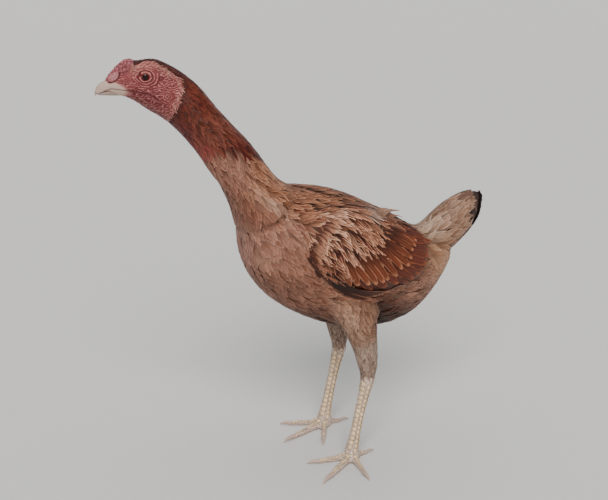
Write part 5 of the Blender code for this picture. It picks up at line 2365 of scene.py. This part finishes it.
# ------------------------------------------------------------------ scaled legs
@dataclass
class Scutes:
    """Overlapping plates round a shank and along its toes.

    Each column of the shank has a shift in rows, a turn from the front in radians and a
    half width. Half widths, raised, depth, thick, lift and the girths are in millimetres,
    and the other lengths in metres.
    """

    label: str
    anatomy: Anatomy
    hull: Hull
    rows: int = 15
    columns: Tuple[Triple, ...] = (
        (0.0, -0.60, 3.0), (0.5, 0.60, 3.0), (0.3, 1.62, 2.2), (0.8, -1.62, 2.2),
        (0.1, 2.4, 2.0), (0.6, -2.4, 2.0), (0.35, 3.14, 1.9))
    top: float = 0.094
    bottom: float = 0.016
    raised: float = 0.5
    depth: float = 0.4
    thick: float = 0.26
    lift: float = 0.06
    ragged: float = 0.02
    girth: float = 4.3
    toe_girth: float = 3.6
    toe_start: float = 0.008
    toe_pitch: float = 0.0036

    def build(self, finish: Material) -> Piece:
        """Make the plates of one leg."""
        batches = [self.shank(), self.toes()]
        return CoatPiece("scutes_" + self.label, Vane(6, 5)).build(batches, finish, "scaled_leg_skin")

    def plates(self, spine: Rows, normal: Rows, half_width: Rows, girth: Rows) -> Plume:
        """Batch of plates on the given short spines.

        Args:
            spine: Middle line of each plate.
            normal: Normals along it.
            half_width: Half width of each.
            girth: Radius that each bends round.

        Returns:
            The plates.
        """
        count = len(spine)
        ones = np.ones(count)
        dice = np.random.default_rng(SEED + 5)
        colour = np.tile(np.array(tint(206, 190, 178)), (count, 1))
        spine = spine + normal * self.raised * MM
        return Plume(Tip.SQUARE, spine, normal, half_width, self.depth * MM * ones, girth, colour, colour,
                     dice.uniform(0.88, 1.08, count), 0.0 * ones, self.hull.chart(spine[:, 0]),
                     self.ragged * ones, self.thick * MM * ones, self.lift * MM * ones,
                     dice.normal(0.0, 0.02, count))

    def shank(self) -> Plume:
        """Plates of the shank, in seven columns round it.

        Returns:
            The plates.
        """
        corners = positions(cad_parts["shank_" + self.label].data.vertices)
        lean = [np.polyfit(corners[:, 2], corners[:, axis], 1) for axis in (0, 1)]
        pitch = (self.top - self.bottom) / self.rows
        heights = np.linspace(self.bottom, self.top, 40)
        spines, normals, widths = [], [], []
        for column, turn, wide in self.columns:
            course = np.array((-math.cos(turn), math.sin(turn), 0.0))
            reach = self.reach(self.middle(lean, heights), course)
            bulge = np.polyfit(heights, reach, 4)
            for row in range(self.rows):
                z = self.top - (row + column + np.arange(4) * 1.25 / 3.0) * pitch
                spines.append(self.middle(lean, z) + course * np.polyval(bulge, z)[:, None])
                normals.append(np.tile(course, (4, 1)))
                widths.append(wide * MM)
        return self.plates(np.array(spines), np.array(normals), np.array(widths),
                           np.full(len(widths), self.girth * MM))

    @staticmethod
    def middle(lean: Sequence[Rows], heights: Rows) -> Rows:
        """Points on the middle line of the shank at the heights."""
        return np.stack([np.polyval(lean[0], heights), np.polyval(lean[1], heights), heights], 1)

    def reach(self, points: Rows, course: Rows) -> Rows:
        """Distances from points inside the hull to its surface along a course.

        Args:
            points: Points in the frame, one row each.
            course: Direction to look in.

        Returns:
            The distances in metres.
        """
        found = []
        for point in points:
            hit = self.hull.tree.ray_cast(Vector(point + course * 0.03), -Vector(course), 0.04)
            found.append(4.5 * MM if hit[0] is None else float((np.array(hit[0]) - point) @ course))
        return np.array(found)

    def toes(self) -> Plume:
        """Plates along the top of each toe.

        Returns:
            The plates.
        """
        corners = positions(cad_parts["shank_" + self.label].data.vertices)
        low, _ = (np.array(v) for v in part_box("shank_" + self.label))
        start = corners[corners[:, 2] < low[2] + 0.002].mean(0)
        spines, normals, widths = [], [], []
        for toe in TOES:
            a, b = (np.array(v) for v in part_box("claw_" + self.label + "_" + toe))
            goal = (a + b) / 2.0
            span = goal[:2] - start[:2]
            reach = float(np.linalg.norm(span))
            course = span / reach
            count = int((reach - 0.003 - self.toe_start) / self.toe_pitch)
            for row in range(count):
                line = []
                for step in range(4):
                    ahead = self.toe_start + self.toe_pitch * (row + step * 1.3 / 3.0)
                    here = start[:2] + course * ahead
                    hit = self.hull.tree.ray_cast(Vector((*here, 0.03)), Vector((0, 0, -1)))
                    if hit[0] is None or hit[0].z > 0.02:
                        break
                    line.append((np.array(hit[0]), self.hull.normals[hit[2]]))
                if len(line) == 4:
                    spines.append([p for p, _ in line])
                    normals.append([n for _, n in line])
                    widths.append((3.1 - 0.8 * row / count) * MM)
        return self.plates(np.array(spines), np.array(normals), np.array(widths),
                           np.full(len(widths), self.toe_girth * MM))


# ------------------------------------------------------------------ studio
@dataclass
class Studio:
    """Pale floor, soft lights and the camera."""

    azimuth: float = -25.0
    elevation: float = 20.0
    distance: float = 1.43
    aim: Triple = (-0.006114, 0.013831, 0.237)
    lens: float = 79.93
    flat: float = 5.0
    curve: float = 3.0
    steps: int = 12
    air: Colour = tint(212, 214, 216)
    air_strength: float = 0.66

    def build(self, finish: Material) -> None:
        """Make the floor, the lights and the camera.

        Args:
            finish: Material of the floor.
        """
        shape = bmesh.new()
        bmesh.ops.create_circle(shape, cap_ends=True, segments=96, radius=self.flat)
        for turn in range(1, self.steps + 1):
            angle = turn * math.pi / (2.0 * self.steps)
            rim = [e for e in shape.edges if e.is_boundary]
            grown = bmesh.ops.extrude_edge_only(shape, edges=rim)["geom"]
            ring = [g for g in grown if isinstance(g, bmesh.types.BMVert)]
            reach = self.flat + self.curve * math.sin(angle)
            for vertex in ring:
                course = vertex.co.xy.normalized() * reach
                vertex.co = (*course, self.curve * (1.0 - math.cos(angle)))
        floor = link("studio_floor", smooth_mesh("studio_floor", shape, finish))
        self.sun("key", (-0.9, -2.0, 2.0), 3.3, 34.0, (1.0, 0.985, 0.96))
        self.sun("top", (0.5, 0.6, 2.7), 0.9, 60.0, (0.97, 0.985, 1.0))
        world = bpy.data.worlds.new("studio_air")
        world.use_nodes = True
        air = world.node_tree.nodes["Background"]
        air.inputs["Color"].default_value = (*self.air, 1.0)
        air.inputs["Strength"].default_value = self.air_strength
        bpy.context.scene.world = world
        self.camera()

    def sun(self, name: str, at: Triple, power: float, spread: float, colour: Colour) -> None:
        """Make one even light that comes from at, as wide as spread degrees.

        Args:
            name: Name of the light.
            at: Place that it comes from.
            power: Its strength.
            spread: Its width in degrees.
            colour: Its colour.
        """
        data = bpy.data.lights.new(name, "SUN")
        data.energy = power
        data.angle = math.radians(spread)
        data.color = colour
        lamp = bpy.data.objects.new(name, data)
        lamp.location = at
        lamp.rotation_euler = (-Vector(at)).to_track_quat("-Z", "Y").to_euler()
        bpy.context.scene.collection.objects.link(lamp)

    def camera(self) -> None:
        """Make the camera and use it."""
        a, e = math.radians(self.azimuth), math.radians(self.elevation)
        back = Vector((math.sin(a) * math.cos(e), -math.cos(a) * math.cos(e), math.sin(e)))
        data = bpy.data.cameras.new("camera")
        data.lens = self.lens
        data.sensor_width = 36.0
        data.clip_start, data.clip_end = 0.05, 60.0
        camera = bpy.data.objects.new("camera", data)
        camera.rotation_mode = "QUATERNION"
        camera.location = Vector(self.aim) + back * self.distance
        camera.rotation_quaternion = (-back).to_track_quat("-Z", "Y")
        bpy.context.scene.collection.objects.link(camera)
        bpy.context.scene.camera = camera


def record_sizes() -> None:
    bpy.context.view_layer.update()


def main() -> None:
    """Dress the hen and set up the studio."""
    logging.basicConfig(level=logging.INFO, format="%(message)s")
    anatomy = Anatomy()
    plumage = Plumage(anatomy)
    solids = Solids(FLESH + CLOSING)
    hull = Hull()
    hull.build()
    hull.unwrap()
    LOG.info("hull: %d faces", len(hull.areas))
    face = Face()
    horn = HornFinish().build()
    Skin(anatomy, plumage, hull, solids, face).build(HideFinish().build())
    finishes = {
        "rusty_feather": PlumageFinish("rusty_feather").build(),
        "mahogany_feather": PlumageFinish("mahogany_feather", roughness=0.45,
                                          edge_share=0.7).build(),
        "buff_feather": PlumageFinish("buff_feather").build(),
        "quill": PlumageFinish("quill_feather", roughness=0.62, barbs=110.0, slant=26.0,
                               edge_from=0.62).build(),
    }
    Coat(anatomy, plumage, hull, solids, face).build(finishes)
    eye = EyeFinish().build()
    for label in SIDES:
        Eye(label, anatomy).build(eye)
    for node in ("bill_upper", "bill_lower"):
        Horn(node, anatomy).build(horn)
    for label in SIDES:
        for toe in TOES:
            Horn("claw_%s_%s" % (label, toe), anatomy).build(horn)
    scute = ScuteFinish().build()
    for label in SIDES:
        Scutes(label, anatomy, hull).build(scute)
    Studio().build(FloorFinish().build())
    record_sizes()


if __name__ == "__main__":
    main()
